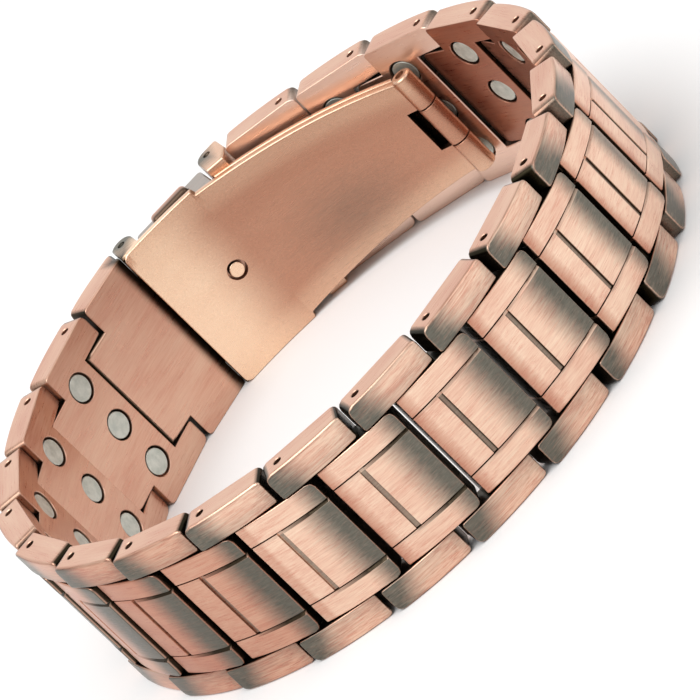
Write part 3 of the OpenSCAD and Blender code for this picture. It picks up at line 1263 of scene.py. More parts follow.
class Finishes:
    """Every finish of the bracelet, made once."""

    def __init__(self) -> None:
        """Makes the materials."""
        self.link = BrushedCopper("antique_brushed_copper").material()
        self.blade = BrushedCopper(
            "smooth_brushed_copper",
            deep=(0.86, 0.56, 0.39),
            mid=(0.96, 0.68, 0.48),
            pale=(0.99, 0.78, 0.58),
            rose_and_shade=(0.55, 0.4, 0.375),
            fine=Grain((0.35, 14.0, 14.0), 5.0, 0.65),
            marks=0.5,
            clouds=0.12,
            rough=0.3,
            relief=0.02,
        ).material()
        self.magnet = SatinMetal(
            "magnet_grey",
            low=(0.46, 0.50, 0.45),
            high=(0.66, 0.69, 0.63),
            rough=0.42,
            metallic=0.75,
            cloud=Grain((0.9, 0.9, 0.9), 4.0, 0.6),
        ).material()
        self.pin = SatinMetal(
            "pin_steel", low=(0.22, 0.17, 0.14), high=(0.5, 0.42, 0.36)
        ).material()
        self.clasp_pin = SatinMetal(
            "clasp_pin_steel", low=(0.6, 0.6, 0.6), high=(0.85, 0.85, 0.86)
        ).material()
        self.catch = BrushedCopper(
            "aged_catch_copper", patina_and_shade=(0.32, 0.295, 0.27), marks=0.7
        ).material()
        # The buttons' dark brown falls on their side towards the blade, as a painted dark
        # reflection.
        self.button = BrushedCopper(
            "button_copper_with_painted_shade", patina_and_shade=(0.16, 0.12, 0.09), marks=0.7
        ).material()


# Placing


def unshaded(points: np.ndarray) -> WearAndShade:
    """Gives no patina, brush marks, painted light or painted shade anywhere."""
    return WearAndShade()


@dataclass
class Dresser:
    """Puts finished pieces on the loop, on their bodies."""

    count: int = 0

    def put(
        self, template: Part, seat: Matrix, name: str, body: Body, nodes: Sequence[str],
        finish: bpy.types.Material, wear_and_shade: WearAndShadeRule = unshaded,
    ) -> None:
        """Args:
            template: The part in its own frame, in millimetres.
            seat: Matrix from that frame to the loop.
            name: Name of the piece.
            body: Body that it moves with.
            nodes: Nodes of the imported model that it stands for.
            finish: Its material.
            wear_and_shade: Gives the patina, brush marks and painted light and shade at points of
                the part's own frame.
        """
        mesh = template.data.copy()
        mesh.name = name
        own = np.zeros(len(mesh.vertices) * 3, np.float32)
        mesh.vertices.foreach_get("co", own)
        points = own.reshape(-1, 3).astype(float)
        local = mesh.attributes.new("local", "FLOAT_VECTOR", "POINT")
        local.data.foreach_set("vector", own)
        # Each channel becomes a mesh attribute: patina, painted shade, rose tint, brush marks and
        # painted sheen.
        for key, values in vars(wear_and_shade(points)).items():
            spread = np.broadcast_to(values, len(points)).astype(np.float32)
            mesh.attributes.new(key, "FLOAT", "POINT").data.foreach_set("value", spread)
        self.count += 1
        seed = mesh.attributes.new("seed", "FLOAT_VECTOR", "POINT")
        shift = np.tile(np.array(SEED_STEP, np.float32) * self.count, len(points))
        seed.data.foreach_set("vector", shift)
        mesh.transform(Matrix.Scale(MM, 4) @ seat)
        mesh.materials.clear()
        mesh.materials.append(finish)
        mesh.shade_smooth()
        mesh.set_sharp_from_angle(angle=math.radians(SHARP_TURN))
        piece = bpy.data.objects.new(name, mesh)
        bpy.context.scene.collection.objects.link(piece)
        weigh = piece.modifiers.new("even_shading", "WEIGHTED_NORMAL")
        weigh.keep_sharp = True
        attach(piece, body.value)
        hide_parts(*nodes)
        faces, stands_for = len(mesh.polygons), ", ".join(nodes)
        LOG.info("%s: %d faces on %s, for %s", name, faces, body.value, stands_for)

    def discard(self, *parts: Part) -> None:
        """Removes templates once their copies are placed."""
        for part in parts:
            bpy.data.objects.remove(part)


# Sub-assemblies


@dataclass
class Links:
    """The equal links of the band, with their grooves, pin holes and magnet recesses.

    A table pairs numbers of links with values, and links between two of its rows take a value
    between theirs. Only flares gives its value to each link up to a number. A fade pairs where a
    shade starts with where it is full.
    """

    loop: Loop
    finishes: Finishes
    block_corners: Corners = Corners(0.2, 0.2, 0.75, 0.75)
    lug_corners: Corners = Corners(0.8, 0.3, 0.55, 0.25)
    rim_edge: float = 0.32
    side_edge: float = 0.16
    flares: tuple[Point2, ...] = ((8, 0.1), (12, -0.06), (15, -0.35), (20, -0.06))
    strip_w: float = 2.4
    groove_w: float = 0.3
    groove_side: float = 0.14
    groove_d: float = 0.35
    groove_facet: float = 0.3
    groove_growth: float = 0.24
    groove_chamfer: float = 0.03
    groove_lip: float = 0.05
    panel_dip: float = 0.1
    cross_at: float = 3.2
    cross_w: float = 0.62
    cross_d: float = 0.22
    cross_shade: float = 0.15
    web_reach: float = 1.0
    hole_flare: float = 0.07
    hole_sides: int = 28
    magnet_rows: int = 3
    magnet_d: float = 2.95
    magnet_t: float = 1.0
    magnet_pitch: float = 5.9
    magnet_at: float = 4.9
    magnet_gap: float = 0.22
    magnet_sink: float = 0.15
    recess_sides: int = 48

    # Where the grey patina fades in along the block and the lugs; it is partly a painted dark
    # reflection.
    panel_fade: Point2 = (0.5, 0.92)
    strip_fade: Point2 = (0.64, 1.0)
    lug_fade: Point2 = (0.52, 0.05)
    lug_tip_fade: Point2 = (0.85, 1.0)
    lug_side_fade: Point2 = (0.8, 2.9)
    lug_tint: float = 0.3
    # Per link, how far the grey reaches, then how much more on the lugs: a painted dark reflection
    # that follows each link's place on the loop.
    patina_and_shade_reach: tuple[Point2, ...] = (
        (1, 0.1), (4, 0.28), (6, 0.06), (8, -0.02), (11, 0.0), (13, -0.08), (20, 0.05),
    )
    lug_reach: tuple[Point2, ...] = ((12, 0.0), (13, 0.35), (15, 0.45), (17, 0.0))
    # Rounded edges and facets lose some grey: wear, which also stands for the bright painted
    # highlights on them.
    edge_top: Point2 = (0.03, 0.1)
    edge_foot: Point2 = (0.2, 0.14)
    edge_wear_and_highlight: float = 0.6
    facet_wear_and_highlight: float = 0.9
    # Painted shade on walls that face a gap, kept off the rims.
    rim_clear: Point2 = (0.0, 0.12)
    # Per link, how dark the painted shade on the lug walls is.
    wall_shades: tuple[Point2, ...] = ((1, 0.35), (4, 0.5), (5, 1.0), (13, 1.0), (14, 0.35))
    # Where the painted shadow wedge on the facets sets in at the low turn, how it fades in along
    # the link and how dark it gets, then the facets' painted dark reflection elsewhere.
    low_turn: tuple[Point2, ...] = ((9.2, 1.0), (9.8, 0.0))
    wedge_fade: Point2 = (0.3, 0.75)
    wedge_dark: float = 0.97
    facet_dark: float = 0.85
    # Painted shade in the grooves, lighter in the middle of the cross groove and at the low turn;
    # the last value is the grey of the patina in the cross groove.
    groove_fade: Point2 = (0.5, 0.9)
    cross_fade: Point2 = (0.4, 0.7)
    cross_dark: Point2 = (0.3, 0.95)
    cross_ease: float = 0.6
    cross_grey: float = 0.7
    # A painted rose reflection near the block's start, left off its rounded edge.
    end_reflection: float = 0.85
    end_reflection_start: Point2 = (0.0, 0.018)
    end_reflection_fade: Point2 = (0.2, 0.03)
    # Per link, how deep a rose the outer faces take: a painted reflection that follows each link's
    # place on the loop; the lugs map it into the next range.
    outer_reflection_tones: tuple[Point2, ...] = (
        (1, 0.35), (4, 0.5), (6, 0.9), (7, 0.75), (8, 0.16), (12, 0.12), (14, 0.2), (20, 0.3),
    )
    lug_reflection_tones: Point2 = (0.2, 0.8)
    # A lighter rose on the rims, as painted light.
    rim_highlight_tone: float = 0.42
    # Per link, the inner faces' deeper rose and grey, painted shade that is deepest beside the
    # hinge, and a painted sheen on the last links.
    inner_shade_tones: tuple[Point2, ...] = (
        (1, 0.45), (13, 0.48), (15, 0.95), (17.2, 1.0), (18, 0.2), (20, 0.1),
    )
    inner_shade_greys: tuple[Point2, ...] = ((13, 0.0), (15, 0.2), (17.2, 0.2), (17.8, 0.0))
    inner_painted_sheens: tuple[Point2, ...] = ((17.2, 0.0), (18, 0.6), (20, 0.75))
    block_brush: float = 0.35
    lug_brush: float = 0.75
    inner_brush: float = 0.2

    def magnet_places(self) -> list[float]:
        """Lists the places of the magnets across the band."""
        mid_z, middle = self.loop.plan.mid_z, (self.magnet_rows - 1) / 2
        return [mid_z + (row - middle) * self.magnet_pitch for row in range(self.magnet_rows)]

    def block_bar(self, flare: float = 0.0) -> CrownedBar:
        """Gives the centre block with its two long grooves and the groove across its panel.

        Args:
            flare: How far each end of its outer face reaches out.

        Returns:
            The bar.
        """
        p = self.loop.plan
        low = p.block_z0 + self.strip_w
        long_grooves = tuple(
            Groove(
                z + self.groove_side, z + self.groove_w, self.groove_d, facet=self.groove_facet,
                chamfer=self.groove_chamfer, lip=self.groove_lip, growth=self.groove_growth,
            )
            for z in (low, p.width - low - self.groove_w)
        )
        start = p.block_start + self.cross_at
        cross = Groove(start, start + self.cross_w, self.cross_d, shade=self.cross_shade)
        return CrownedBar(
            p, p.block_start, p.block_end, p.block_z0, p.block_z1, self.block_corners,
            along=long_grooves, across=(cross,), dip=self.panel_dip, flare=flare,
        )

    def lug_bar(self, z: float, flare: float = 0.0) -> CrownedBar:
        """Gives one of the link's two lugs.

        Args:
            z: The lug's lower side.
            flare: How far each end of its outer face reaches out.

        Returns:
            The bar.
        """
        p = self.loop.plan
        corners, edges = self.lug_corners, (self.rim_edge, self.side_edge)
        if z > p.mid_z:
            corners, edges = corners.mirrored(), edges[::-1]
        return CrownedBar(
            p, -p.lug_tip, p.lug_end, z, z + p.lug_w, corners,
            low_edge=edges[0], high_edge=edges[1], flare=flare,
        )

    def pin_hole(self, s: float) -> Part:
        """Makes the tool of a pin hole with flared mouths.

        Args:
            s: Its place along the link.

        Returns:
            The tool.
        """
        p, flare = self.loop.plan, self.hole_flare
        r = p.pin_d / 2 + p.pin_clear
        wide = r + flare
        profile = (
            (wide + PAST, -PAST), (wide, 0), (r, flare),
            (r, p.width - flare), (wide, p.width), (wide + PAST, p.width + PAST),
        )
        return Lathe(profile, self.hole_sides).part("pin_hole", Matrix.Translation((s, 0, 0)))

    def recess(self, z: float) -> Part:
        """Makes the tool of a magnet's recess, with a fine chamfer at its mouth.

        Args:
            z: Its place across the band.

        Returns:
            The tool.
        """
        face = self.loop.plan.inner_y
        r = self.magnet_d / 2 + self.magnet_gap
        wide, floor = r + self.hole_flare, face - self.magnet_sink - self.magnet_t
        mouth = face - self.hole_flare
        profile = ((r, floor), (r, mouth), (wide, face), (wide + PAST, face + PAST))
        return Lathe(profile, self.recess_sides).part("recess", towards_wrist(self.magnet_at, 0, z))

    def template(self, flare: float) -> Part:
        """Makes one link in its own frame.

        Args:
            flare: How far each end of its outer faces reaches out.

        Returns:
            The link as one closed object.
        """
        p, reach = self.loop.plan, self.web_reach
        link = self.block_bar(flare).part("link_template")
        lugs = [self.lug_bar(z, flare).part("lug") for z in (0, p.width - p.lug_w)]
        webs = []
        for z in (p.lug_w - reach, p.block_z1 - reach):
            web = CrownedBar(p, p.block_start, p.lug_end, z, z + 2 * reach + p.side_gap).part("web")
            for vertex in web.data.vertices:
                vertex.co.y = max(vertex.co.y, p.edge_y + self.groove_d)
            webs.append(web)
        combine(link, lugs, Cut.ADD)
        combine(link, webs, Cut.ADD)
        holes = [self.pin_hole(s) for s in (0, p.pitch)]
        holes += [self.recess(z) for z in self.magnet_places()]
        combine(link, holes, Cut.TAKE)
        return link

    def tone(self, table: Sequence[Point2], number: float) -> float:
        """Gives a link's value from a table of link numbers and values."""
        return float(np.interp(number, *zip(*table)))

    def painted_shade_at(self, bar: CrownedBar, s: float, y: float, z: float, low: float) -> float:
        """Gives the painted shade in the grooves, in the holes and on the walls that face a gap.

        Args:
            bar: The bar that the point belongs to.
            s: Place along the link.
            y: Height of the point.
            z: Place across the band.
            low: How far the link sits at the low turn, where a painted shadow darkens and widens
                the long grooves.

        Returns:
            The painted shade, from 0 to 1.
        """
        p = self.loop.plan
        below = y - bar.crown_at(s) - bar.dip_at(s, z)
        if bar.inset_at(s, z) < SLACK or below > self.groove_d + SLACK:
            wall = step(*p.wall_top, below) * step(*p.wall_foot, p.inner_y - y)
            return wall * step(*self.rim_clear, min(z, p.width - z))
        facets = [g for g in bar.along if g.on_facet(z)]
        if facets:
            past = max(step(g.facet_start, g.facet_line, z) for g in facets)
            near = max(step(g.facet_line, g.low, z) for g in facets)
            # A painted shadow wedge at the low turn; elsewhere a painted dark reflection on the
            # facet.
            wedge = self.wedge_dark * step(*self.wedge_fade, bar.share(s)) * past
            return low * wedge + (1 - low) * self.facet_dark * bar.share(s) ** 2 * near
        if bar.on_panel(z):
            cross, (middle, side) = bar.across[0], self.cross_dark
            tone = middle + (side - middle) * cross.floor_shade(s)
            return step(*self.cross_fade, below / cross.depth) * tone * (1 - self.cross_ease * low)
        return step(*self.groove_fade, below / self.groove_d)

    def patina_and_shade(self, s: np.ndarray, across: np.ndarray, number: int) -> np.ndarray:
        """Gives the grey patina, partly a painted dark reflection, at one end of the block and at
        the other end of the lugs.

        Args:
            s: Places along the link.
            across: Distances from the middle of the band's width.
            number: The link's place on the band.

        Returns:
            The patina and painted reflection at each point, from 0 to 1.
        """
        p = self.loop.plan
        block_u = (s - p.block_start) / (p.block_end - p.block_start)
        lug_u = (s + p.lug_tip) / (p.lug_end + p.lug_tip)
        reach = self.tone(self.patina_and_shade_reach, number)
        panel, strip = (
            smooth(start - reach, end - reach / 2, block_u)
            for start, end in (self.panel_fade, self.strip_fade)
        )
        reach += self.tone(self.lug_reach, number)
        lug = smooth(self.lug_fade[0] + reach, self.lug_fade[1] + reach / 2, lug_u)
        lug += self.lug_tint * smooth(*self.lug_tip_fade, lug_u)
        lug += self.lug_tint * smooth(*self.lug_side_fade, p.mid_z - across)
        cross = p.block_start + self.cross_at + self.cross_w / 2
        panel = np.where(np.abs(s - cross) < self.cross_w / 2 - SLACK, self.cross_grey, panel)
        block_half = p.mid_z - p.block_z0
        block = np.where(across < block_half - self.strip_w, panel, strip)
        return np.where(across < block_half + p.side_gap / 2, block, np.clip(lug, 0, 1))

    def wear_and_shade(self, points: np.ndarray, number: int) -> WearAndShade:
        """Gives a link's patina, brush marks, and painted light and shade.

        Args:
            points: Points of the link's own frame.
            number: The link's place on the band.

        Returns:
            The shading at each point.
        """
        p = self.loop.plan
        s, y, z = points.T
        across = np.abs(z - p.mid_z)
        in_block = across < p.mid_z - p.block_z0 + p.side_gap / 2
        block, lugs = self.block_bar(), (self.lug_bar(0), self.lug_bar(p.width - p.lug_w))
        bars = [block if inside else lugs[int(c > p.mid_z)] for inside, c in zip(in_block, z)]
        low = self.tone(self.low_turn, number)
        painted_shade = np.array([self.painted_shade_at(bar, a, h, c, low) for bar, a, h, c in zip(bars, s, y, z)])
        # Painted shade on the lug walls, lighter on some links.
        painted_shade *= np.where(in_block, 1.0, self.tone(self.wall_shades, number))
        below = y - np.array([bar.crown_at(a) + bar.dip_at(a, c) for bar, a, c in zip(bars, s, z)])
        facet = np.array([any(g.on_facet(c) for g in block.along) for c in z])
        facet &= in_block & (below < self.groove_d)
        # Rounded edges and facets lose grey: wear and painted highlight.
        edge = smooth(*self.edge_top, below) * smooth(*self.edge_foot, below)
        edge = np.where(facet, self.facet_wear_and_highlight, edge)
        block_u = (s - p.block_start) / (p.block_end - p.block_start)
        # Painted rose reflection near the block's start.
        end_reflection = self.end_reflection * smooth(*self.end_reflection_start, block_u) * smooth(*self.end_reflection_fade, block_u)
        # Per link, a deeper rose on the outer faces as a painted reflection.
        tone, (least, most) = self.tone(self.outer_reflection_tones, number), self.lug_reflection_tones
        rose_and_shade = np.where(in_block, np.maximum(end_reflection, tone), least + (most - least) * tone)
        brush = np.where(in_block, self.block_brush, self.lug_brush)
        off_rim = p.off_rim(z)
        # Rims take a lighter rose as painted light; inner faces a per-link deeper rose as painted
        # shade.
        inner_rose_and_shade = np.where(off_rim > 0.5, self.inner_shade_tone(number), self.rim_highlight_tone)
        face, inner = p.outward(y) * off_rim, (1 - p.outward(y)) * off_rim
        grey = self.patina_and_shade(s, across, number) * face * (1 - self.edge_wear_and_highlight * edge)
        # Inside: a painted sheen on the last links, and per-link grey as painted shade.
        return WearAndShade(
            patina_and_shade=grey + self.tone(self.inner_shade_greys, number) * inner,
            painted_shade=painted_shade,
            rose_and_shade=rose_and_shade * face + inner_rose_and_shade * (1 - face),
            brush=brush * face + self.inner_brush * (1 - face),
            pale=self.tone(self.inner_painted_sheens, number) * inner,
        )

    def inner_shade_tone(self, number: int) -> float:
        """Gives how deep a rose a link's inner face takes as painted shade, deepest beside the
        hinge.
        """
        return self.tone(self.inner_shade_tones, number)

    def dress(self, dresser: Dresser) -> None:
        """Places every link.

        Args:
            dresser: Puts the pieces on the loop.
        """
        reaches = sorted({flare for _, flare in self.flares})
        templates = {flare: self.template(flare) for flare in reaches}
        for k in range(1, self.loop.plan.link_count + 1):
            flare = next(flare for last, flare in self.flares if k <= last)
            node, seat = f"link_{k:02d}", self.loop.link_seat(k)
            dresser.put(
                templates[flare], seat.matrix(), f"copper_{node}", Body.BAND, [node],
                self.finishes.link, partial(self.wear_and_shade, number=k),
            )
        dresser.discard(*templates.values())


@dataclass
class Magnets:
    """The round magnets in the links' inner faces."""

    links: Links
    edge: float = 0.1
    sides: int = 44

    def dress(self, dresser: Dresser) -> None:
        """Places all the magnets as one piece.

        Args:
            dresser: Puts the pieces on the loop.
        """
        k, loop = self.links, self.links.loop
        floor = loop.plan.inner_y - k.magnet_sink - k.magnet_t
        magnet = Lathe(disc_profile(k.magnet_d / 2, 0, k.magnet_t, 0, self.edge), self.sides)
        joined = join([
            magnet.part(
                "magnet", loop.link_seat(number).matrix() @ towards_wrist(k.magnet_at, floor, z)
            )
            for number in range(1, loop.plan.link_count + 1)
            for z in k.magnet_places()
        ])
        dresser.put(
            joined, Matrix.Identity(4), "round_magnets", Body.BAND, ["magnets"],
            k.finishes.magnet,
        )
        dresser.discard(joined)


def join(parts: Sequence[Part]) -> Part:
    """Joins loose parts.

    Args:
        parts: Objects in one frame.

    Returns:
        The first of them, which takes in the rest.
    """
    shape = bmesh.new()
    for part in parts:
        shape.from_mesh(part.data)
    shape.to_mesh(parts[0].data)
    shape.free()
    for part in parts[1:]:
        bpy.data.objects.remove(part)
    return parts[0]


@dataclass
class Pins:
    """The straight pins across the band, with slightly domed ends."""

    loop: Loop
    finishes: Finishes
    dome: float = 0.12
    clasp_sink: float = 0.25
    sides: int = 24

    def pin(self, place: Point2, sink: float) -> Part:
        """Makes one pin.

        Args:
            place: Its place on the loop.
            sink: How deep its ends are sunk.

        Returns:
            The pin.
        """
        p = self.loop.plan
        profile = disc_profile(p.pin_d / 2, sink, p.width - sink, self.dome, self.dome)
        return Lathe(profile, self.sides).part("pin", Matrix.Translation((*place, 0)))

    def dress(self, dresser: Dresser) -> None:
        """Places the link pins and the clasp's pins.

        Args:
            dresser: Puts the pieces on the loop.
        """
        p, loop = self.loop.plan, self.loop
        link_places = [loop.pin(k) for k in range(1, p.link_count + 1)]
        clasp_places = [loop.ear_left, loop.ear_right]
        for node, places, sink, finish in (
            ("link_pins", link_places, p.pin_sink, self.finishes.pin),
            ("clasp_pins", clasp_places, self.clasp_sink, self.finishes.clasp_pin),
        ):
            joined = join([self.pin(place, sink) for place in places])
            dresser.put(
                joined, Matrix.Identity(4), f"steel_{node}", Body.BAND, [node], finish
            )
            dresser.discard(joined)


@dataclass
class EndLink:
    """The plain link at the clasp's left ears.

    A fade pairs where a shade starts with where it is full.
    """

    links: Links
    corners: Corners = Corners(0.4, 0.4, 0.6, 0.6)
    lip: float = 0.27
    lip_span: Point2 = (0.45, 0.75)
    lean_l: float = 2.0
    # A wide round inner edge at the far end, which takes painted shade as the dark gap to the first
    # link.
    far_edge: float = 0.4
    far_l: float = 0.6
    far_foot: Point2 = (0.0, 0.03)
    far_fade: Point2 = (0.55, 0.95)
    near_fade: Point2 = (0.35, 0.1)
    near_grey: float = 0.5
    # A painted shadow on the inner face beside the clasp: its fade, the cuts that hold it, and how
    # dark it is.
    shadow: Point2 = (1.3, 0.1)
    shadow_cuts: tuple[float, ...] = (0.15, 0.4, 0.7, 1.0)
    shadow_dark: float = 0.93
    outer_rose: float = 0.35
    brush: float = 0.2

    def dress(self, dresser: Dresser) -> None:
        """Builds and places the end link.

        Args:
            dresser: Puts the pieces on the loop.
        """
        loop = self.links.loop
        p = loop.plan
        s0, s1 = -p.tongue_tip, p.end_link_l + p.tongue_tip
        bar = CrownedBar(p, s0, s1, p.block_z0, p.block_z1, inner_edge=self.far_edge)
        base = bar.part("end_link")
        start, end = self._start_at(p.inner_y), p.end_link_l - p.lug_tip - p.end_gap
        wide = CrownedBar(p, start, end, 0, p.width, self.corners).part("wide_end_link")
        slice_along(wide, 1, self.lip_span)
        for vertex in wide.data.vertices:
            share = 1 - step(start, start + self.lean_l, vertex.co.x)
            lip = self.lip * step(*self.lip_span, vertex.co.y)
            vertex.co.x += share * (self._start_at(vertex.co.y) - start - lip)
        combine(base, [wide], Cut.ADD)
        combine(base, [self.links.pin_hole(s) for s in (0, p.end_link_l)], Cut.TAKE)
        slice_along(base, 0, [start + self.shadow[0] * share for share in self.shadow_cuts])
        dresser.put(
            base, loop.end_link_seat().matrix(), "copper_end_link", Body.BAND, ["end_link"],
            self.links.finishes.link, self.wear_and_shade,
        )
        dresser.discard(base)

    def _start_at(self, y: float) -> float:
        """Gives where the full width starts, along the end of the inner blade.

        Args:
            y: Height over the plane of the pins.

        Returns:
            The place along the end link.
        """
        loop = self.links.loop
        p = loop.plan
        catch, own = loop.catch_seat(), loop.end_link_seat()
        edge = p.ear_span + p.ear_r + p.ear_gap
        (s_a, y_a), (s_b, y_b) = (own.local(*catch.placed(edge, h)) for h in (0.0, 1.0))
        return s_a + (s_b - s_a) * (y - y_a) / (y_b - y_a)

    def wear_and_shade(self, points: np.ndarray) -> WearAndShade:
        """Gives the end link's grey outer ends, and painted shade on its walls and beside the
        clasp.

        Args:
            points: Points of its own frame.

        Returns:
            The shading at each point.
        """
        p = self.links.loop.plan
        s, y, z = points.T
        along, left = s / p.end_link_l, p.inner_y - y
        ends = smooth(*self.far_fade, along) + self.near_grey * smooth(*self.near_fade, along)
        outer, off_rim = p.outward(y), p.off_rim(z)
        # Painted shade on the walls; at the far end it reaches down to the inner face, as the dark
        # gap.
        at_far_end = s > p.end_link_l + p.tongue_tip - self.far_l
        foot = np.where(at_far_end, smooth(*self.far_foot, left), smooth(*p.wall_foot, left))
        wall = smooth(*p.wall_top, y - p.edge_y) * foot
        clasp_shadow = smooth(*self.shadow, s - self._start_at(p.inner_y))
        return WearAndShade(
            patina_and_shade=np.clip(ends, 0, 1) * outer * off_rim,
            painted_shade=np.maximum(wall * off_rim, self.shadow_dark * clasp_shadow * (1 - outer)),
            rose_and_shade=self.links.inner_shade_tone(0) * (1 - outer) + self.outer_rose * outer,
            brush=self.brush,
        )


@dataclass
class Clasp:
    """The closed fold-over clasp: two blades, their hinge, the catch block and its buttons.

    A fade pairs where a shade starts with where it is full.
    """

    loop: Loop
    finishes: Finishes
    inner_t: float = 0.9
    outer_t: float = 0.7
    blade_gap: float = 0.15
    blade_l: float = 35.6
    blade_ease: float = 5.0
    blade_over: float = 1.2
    blade_corner: float = 0.85
    blade_edge: float = 0.2
    neck_w: float = 18.7
    tail_w: float = 12.8
    step_at: float = 2.5
    step_l: float = 0.24
    step_shares: tuple[float, ...] = (-0.5, -0.25, 0.0, 0.25, 0.5)
    sheet_spacing: float = 0.7
    corner_facets: int = 8
    face_rows: int = 6
    ear_rise: float = 2.1
    ear_back: float = 1.8
    ear_edge: float = 0.3
    ear_facets: int = 14
    ear_hole_sides: int = 28
    hinge_drop: float = 3.2
    barrel_d: float = 2.42
    barrel_l: float = 14.0
    barrel_in: float = 0.3
    barrel_chamfer: float = 0.35
    barrel_sides: int = 48
    knuckle_l: float = 5.2
    knuckle_gap: float = 0.15
    knuckle_edge: float = 0.1
    hinge_pin_d: float = 1.0
    hinge_pin_edge: float = 0.15
    hinge_pin_sides: int = 28
    hinge_bore_sides: int = 32
    slot_l: float = 1.4
    slot_cuts: Point2 = (0.25, 0.35)
    slot_end_cuts: Point2 = (0.35, 0.45)
    tool_reach: float = 3.0
    catch_up: float = 1.0
    catch_inset: float = 1.0
    catch_gap: float = 0.25
    catch_seat: float = 0.02
    catch_corner: float = 0.5
    catch_corner_facets: int = 5
    catch_foot_rows: int = 14
    catch_edge: float = 0.25
    sweep_sides: int = 64
    rivet_d: float = 1.7
    rivet_in: float = 1.5
    rivet_ring: float = 0.3
    rivet_edge: float = 0.12
    rivet_sides: int = 40
    ring_depth: float = 8.0
    ring_sides: int = 48
    button_l: float = 5.0
    button_h: float = 1.8
    button_corner: float = 0.585
    button_facets: int = 7
    button_out: float = 0.9
    button_in: float = 2.4
    button_clear: float = 0.15
    button_travel: float = 0.6
    button_edge: float = 0.5
    button_cuts: tuple[float, ...] = (-0.25, -0.1, 0.1, 0.25, 0.35)
    pocket_edge: float = 0.05

    ear_fade: Point2 = (3.2, 2.5)
    ear_foot: Point2 = (0.9, 0.2)
    ear_side: Point2 = (-1.2, 0.4)
    # Painted shade in the inner blade's slot, at its wide end and in the rivet's ring, under the
    # outer blade's slot, on the rivet's side and in the ears' pin holes.
    wall_fade: Point2 = (0.1, 0.3)
    end_fade: Point2 = (0.25, 0.12)
    under_slot: float = 0.3
    ring_dark: float = 0.95
    rivet_side: float = 0.1
    hole_fade: Point2 = (0.12, 0.06)
    hole_depth: Point2 = (0.02, 0.2)
    # Painted light at the blade's wide end, and a painted highlight along its edges.
    wide_end_light_fade: Point2 = (15.0, 7.5)
    edge_fade: Point2 = (0.3, 3.5)
    edge_highlight_rose: float = 0.5
    cloud_at: Point2 = (-3.0, 6.5)
    cloud_size: Point2 = (7.0, 4.5)
    cloud_grey: float = 0.42
    blade_brush: float = 0.4
    catch_fade: Point2 = (0.3, 0.05)
    catch_grey: float = 0.97
    catch_rose: float = 0.5
    catch_brush: float = 0.4
    # A painted dark reflection on the buttons, towards the blade.
    button_fade: Point2 = (-0.3, 0.4)
    button_grey: float = 0.25
    button_dark: float = 0.85
    button_rose: float = 0.5
    button_brush: float = 0.6

    def __post_init__(self) -> None:
        """Works out the blades' curve and frames."""
        p, loop = self.loop.plan, self.loop
        self.catch = loop.catch_seat()
        self.seam_r = loop.radius + self.blade_ease
        wide_r = loop.ear_radius - self.ear_rise
        wide_a = math.pi / 2 + loop.ear_angle + math.atan(self.blade_over / wide_r)
        tail_r = loop.radius - self.hinge_drop
        wide = loop.at(wide_r, wide_a)
        tail = loop.at(tail_r, wide_a - apart(wide_r, tail_r, self.blade_l))
        towards = seat_between(tail, wide)
        half = self.blade_l / 2
        sag = math.sqrt(self.seam_r**2 - half**2)
        centre = towards.placed(half, sag)
        self.blades = Seat(centre[0], centre[1], towards.heading)
        self.barrel = (-half, -sag + self.barrel_in)
        self.barrel_seat = Matrix.Translation((*self.barrel, 0))
        self.inner_top = self.seam_r - self.blade_gap / 2
        self.inner_low = self.inner_top - self.inner_t
        self.outer_low = self.seam_r + self.blade_gap / 2
        self.outer_top = self.outer_low + self.outer_t
        self.in_catch = self.catch.local(*centre)
        self.step_x = self.blades.local(*self.catch.placed(self.step_at, 0))[0]
        self.room = self.knuckle_l / 2 + self.knuckle_gap
        self.slot_start = self.barrel[0] + self.barrel_d / 2
        self.slot_end = self.slot_start + self.slot_l
        self.floor = self.blade_y(self.inner_top, p.ear_span / 2)
        self.rivet_seat = towards_wrist(p.ear_span / 2, 0, p.mid_z)
        self.ring_r = self.rivet_d / 2 + self.rivet_ring
        self.button_y = (self.floor - self.catch_up) / 2

    def blade_y(self, r: float, x: float) -> float:
        """Gives the height in the catch's frame of a blade face at a place along the band."""
        return self.in_catch[1] - math.sqrt(r * r - (x - self.in_catch[0]) ** 2)

    def sheet(
        self, name: str, low: float, top: float, x1: float, half_width: Callable[[float], float],
        round_end: float = 0.0,
    ) -> Part:
        """Makes a curved sheet with soft edges in the blades' frame, from the hinge on.

        Args:
            name: Name of the object.
            low: Radius of its inner face.
            top: Radius of its outer face.
            x1: Where it ends along the band.
            half_width: Half of its width at a place along the band.
            round_end: Radius of the corners at its end, seen on the face.

        Returns:
            The sheet.
        """
        x0 = self.barrel[0]
        edge = min(self.blade_edge, (top - low) / 2 - SLACK)
        levels = arc_levels(edge)
        ends = [d for d, _ in levels]
        corner = [d for d, _ in arc_levels(round_end, self.corner_facets)] if round_end else []
        places = {round(x0 + d, PLACE_DIGITS) for d in ends}
        places |= {round(x1 - d, PLACE_DIGITS) for d in ends + corner}
        count = int((x1 - x0) / self.sheet_spacing)
        inner = {round(x0 + (x1 - x0) * k / count, PLACE_DIGITS) for k in range(1, count)}
        places |= {x for x in inner if x0 + edge < x < x1 - max(edge, round_end)}
        jogs = {round(self.step_x + k * self.step_l, PLACE_DIGITS) for k in self.step_shares}
        places |= {x for x in jogs if x0 < x < x1 - edge}
        draft = Draft()
        rings = []
        for x in sorted(places):
            lift = max(edge - min(x - x0, x1 - x), 0)
            drop = edge - math.sqrt(max(edge**2 - lift**2, 0))
            half, left = half_width(x), x1 - x
            if left < round_end:
                half -= round_end - math.sqrt(round_end**2 - (round_end - left) ** 2)
            section = [(half - d, low + drop + e) for d, e in levels][::-1]
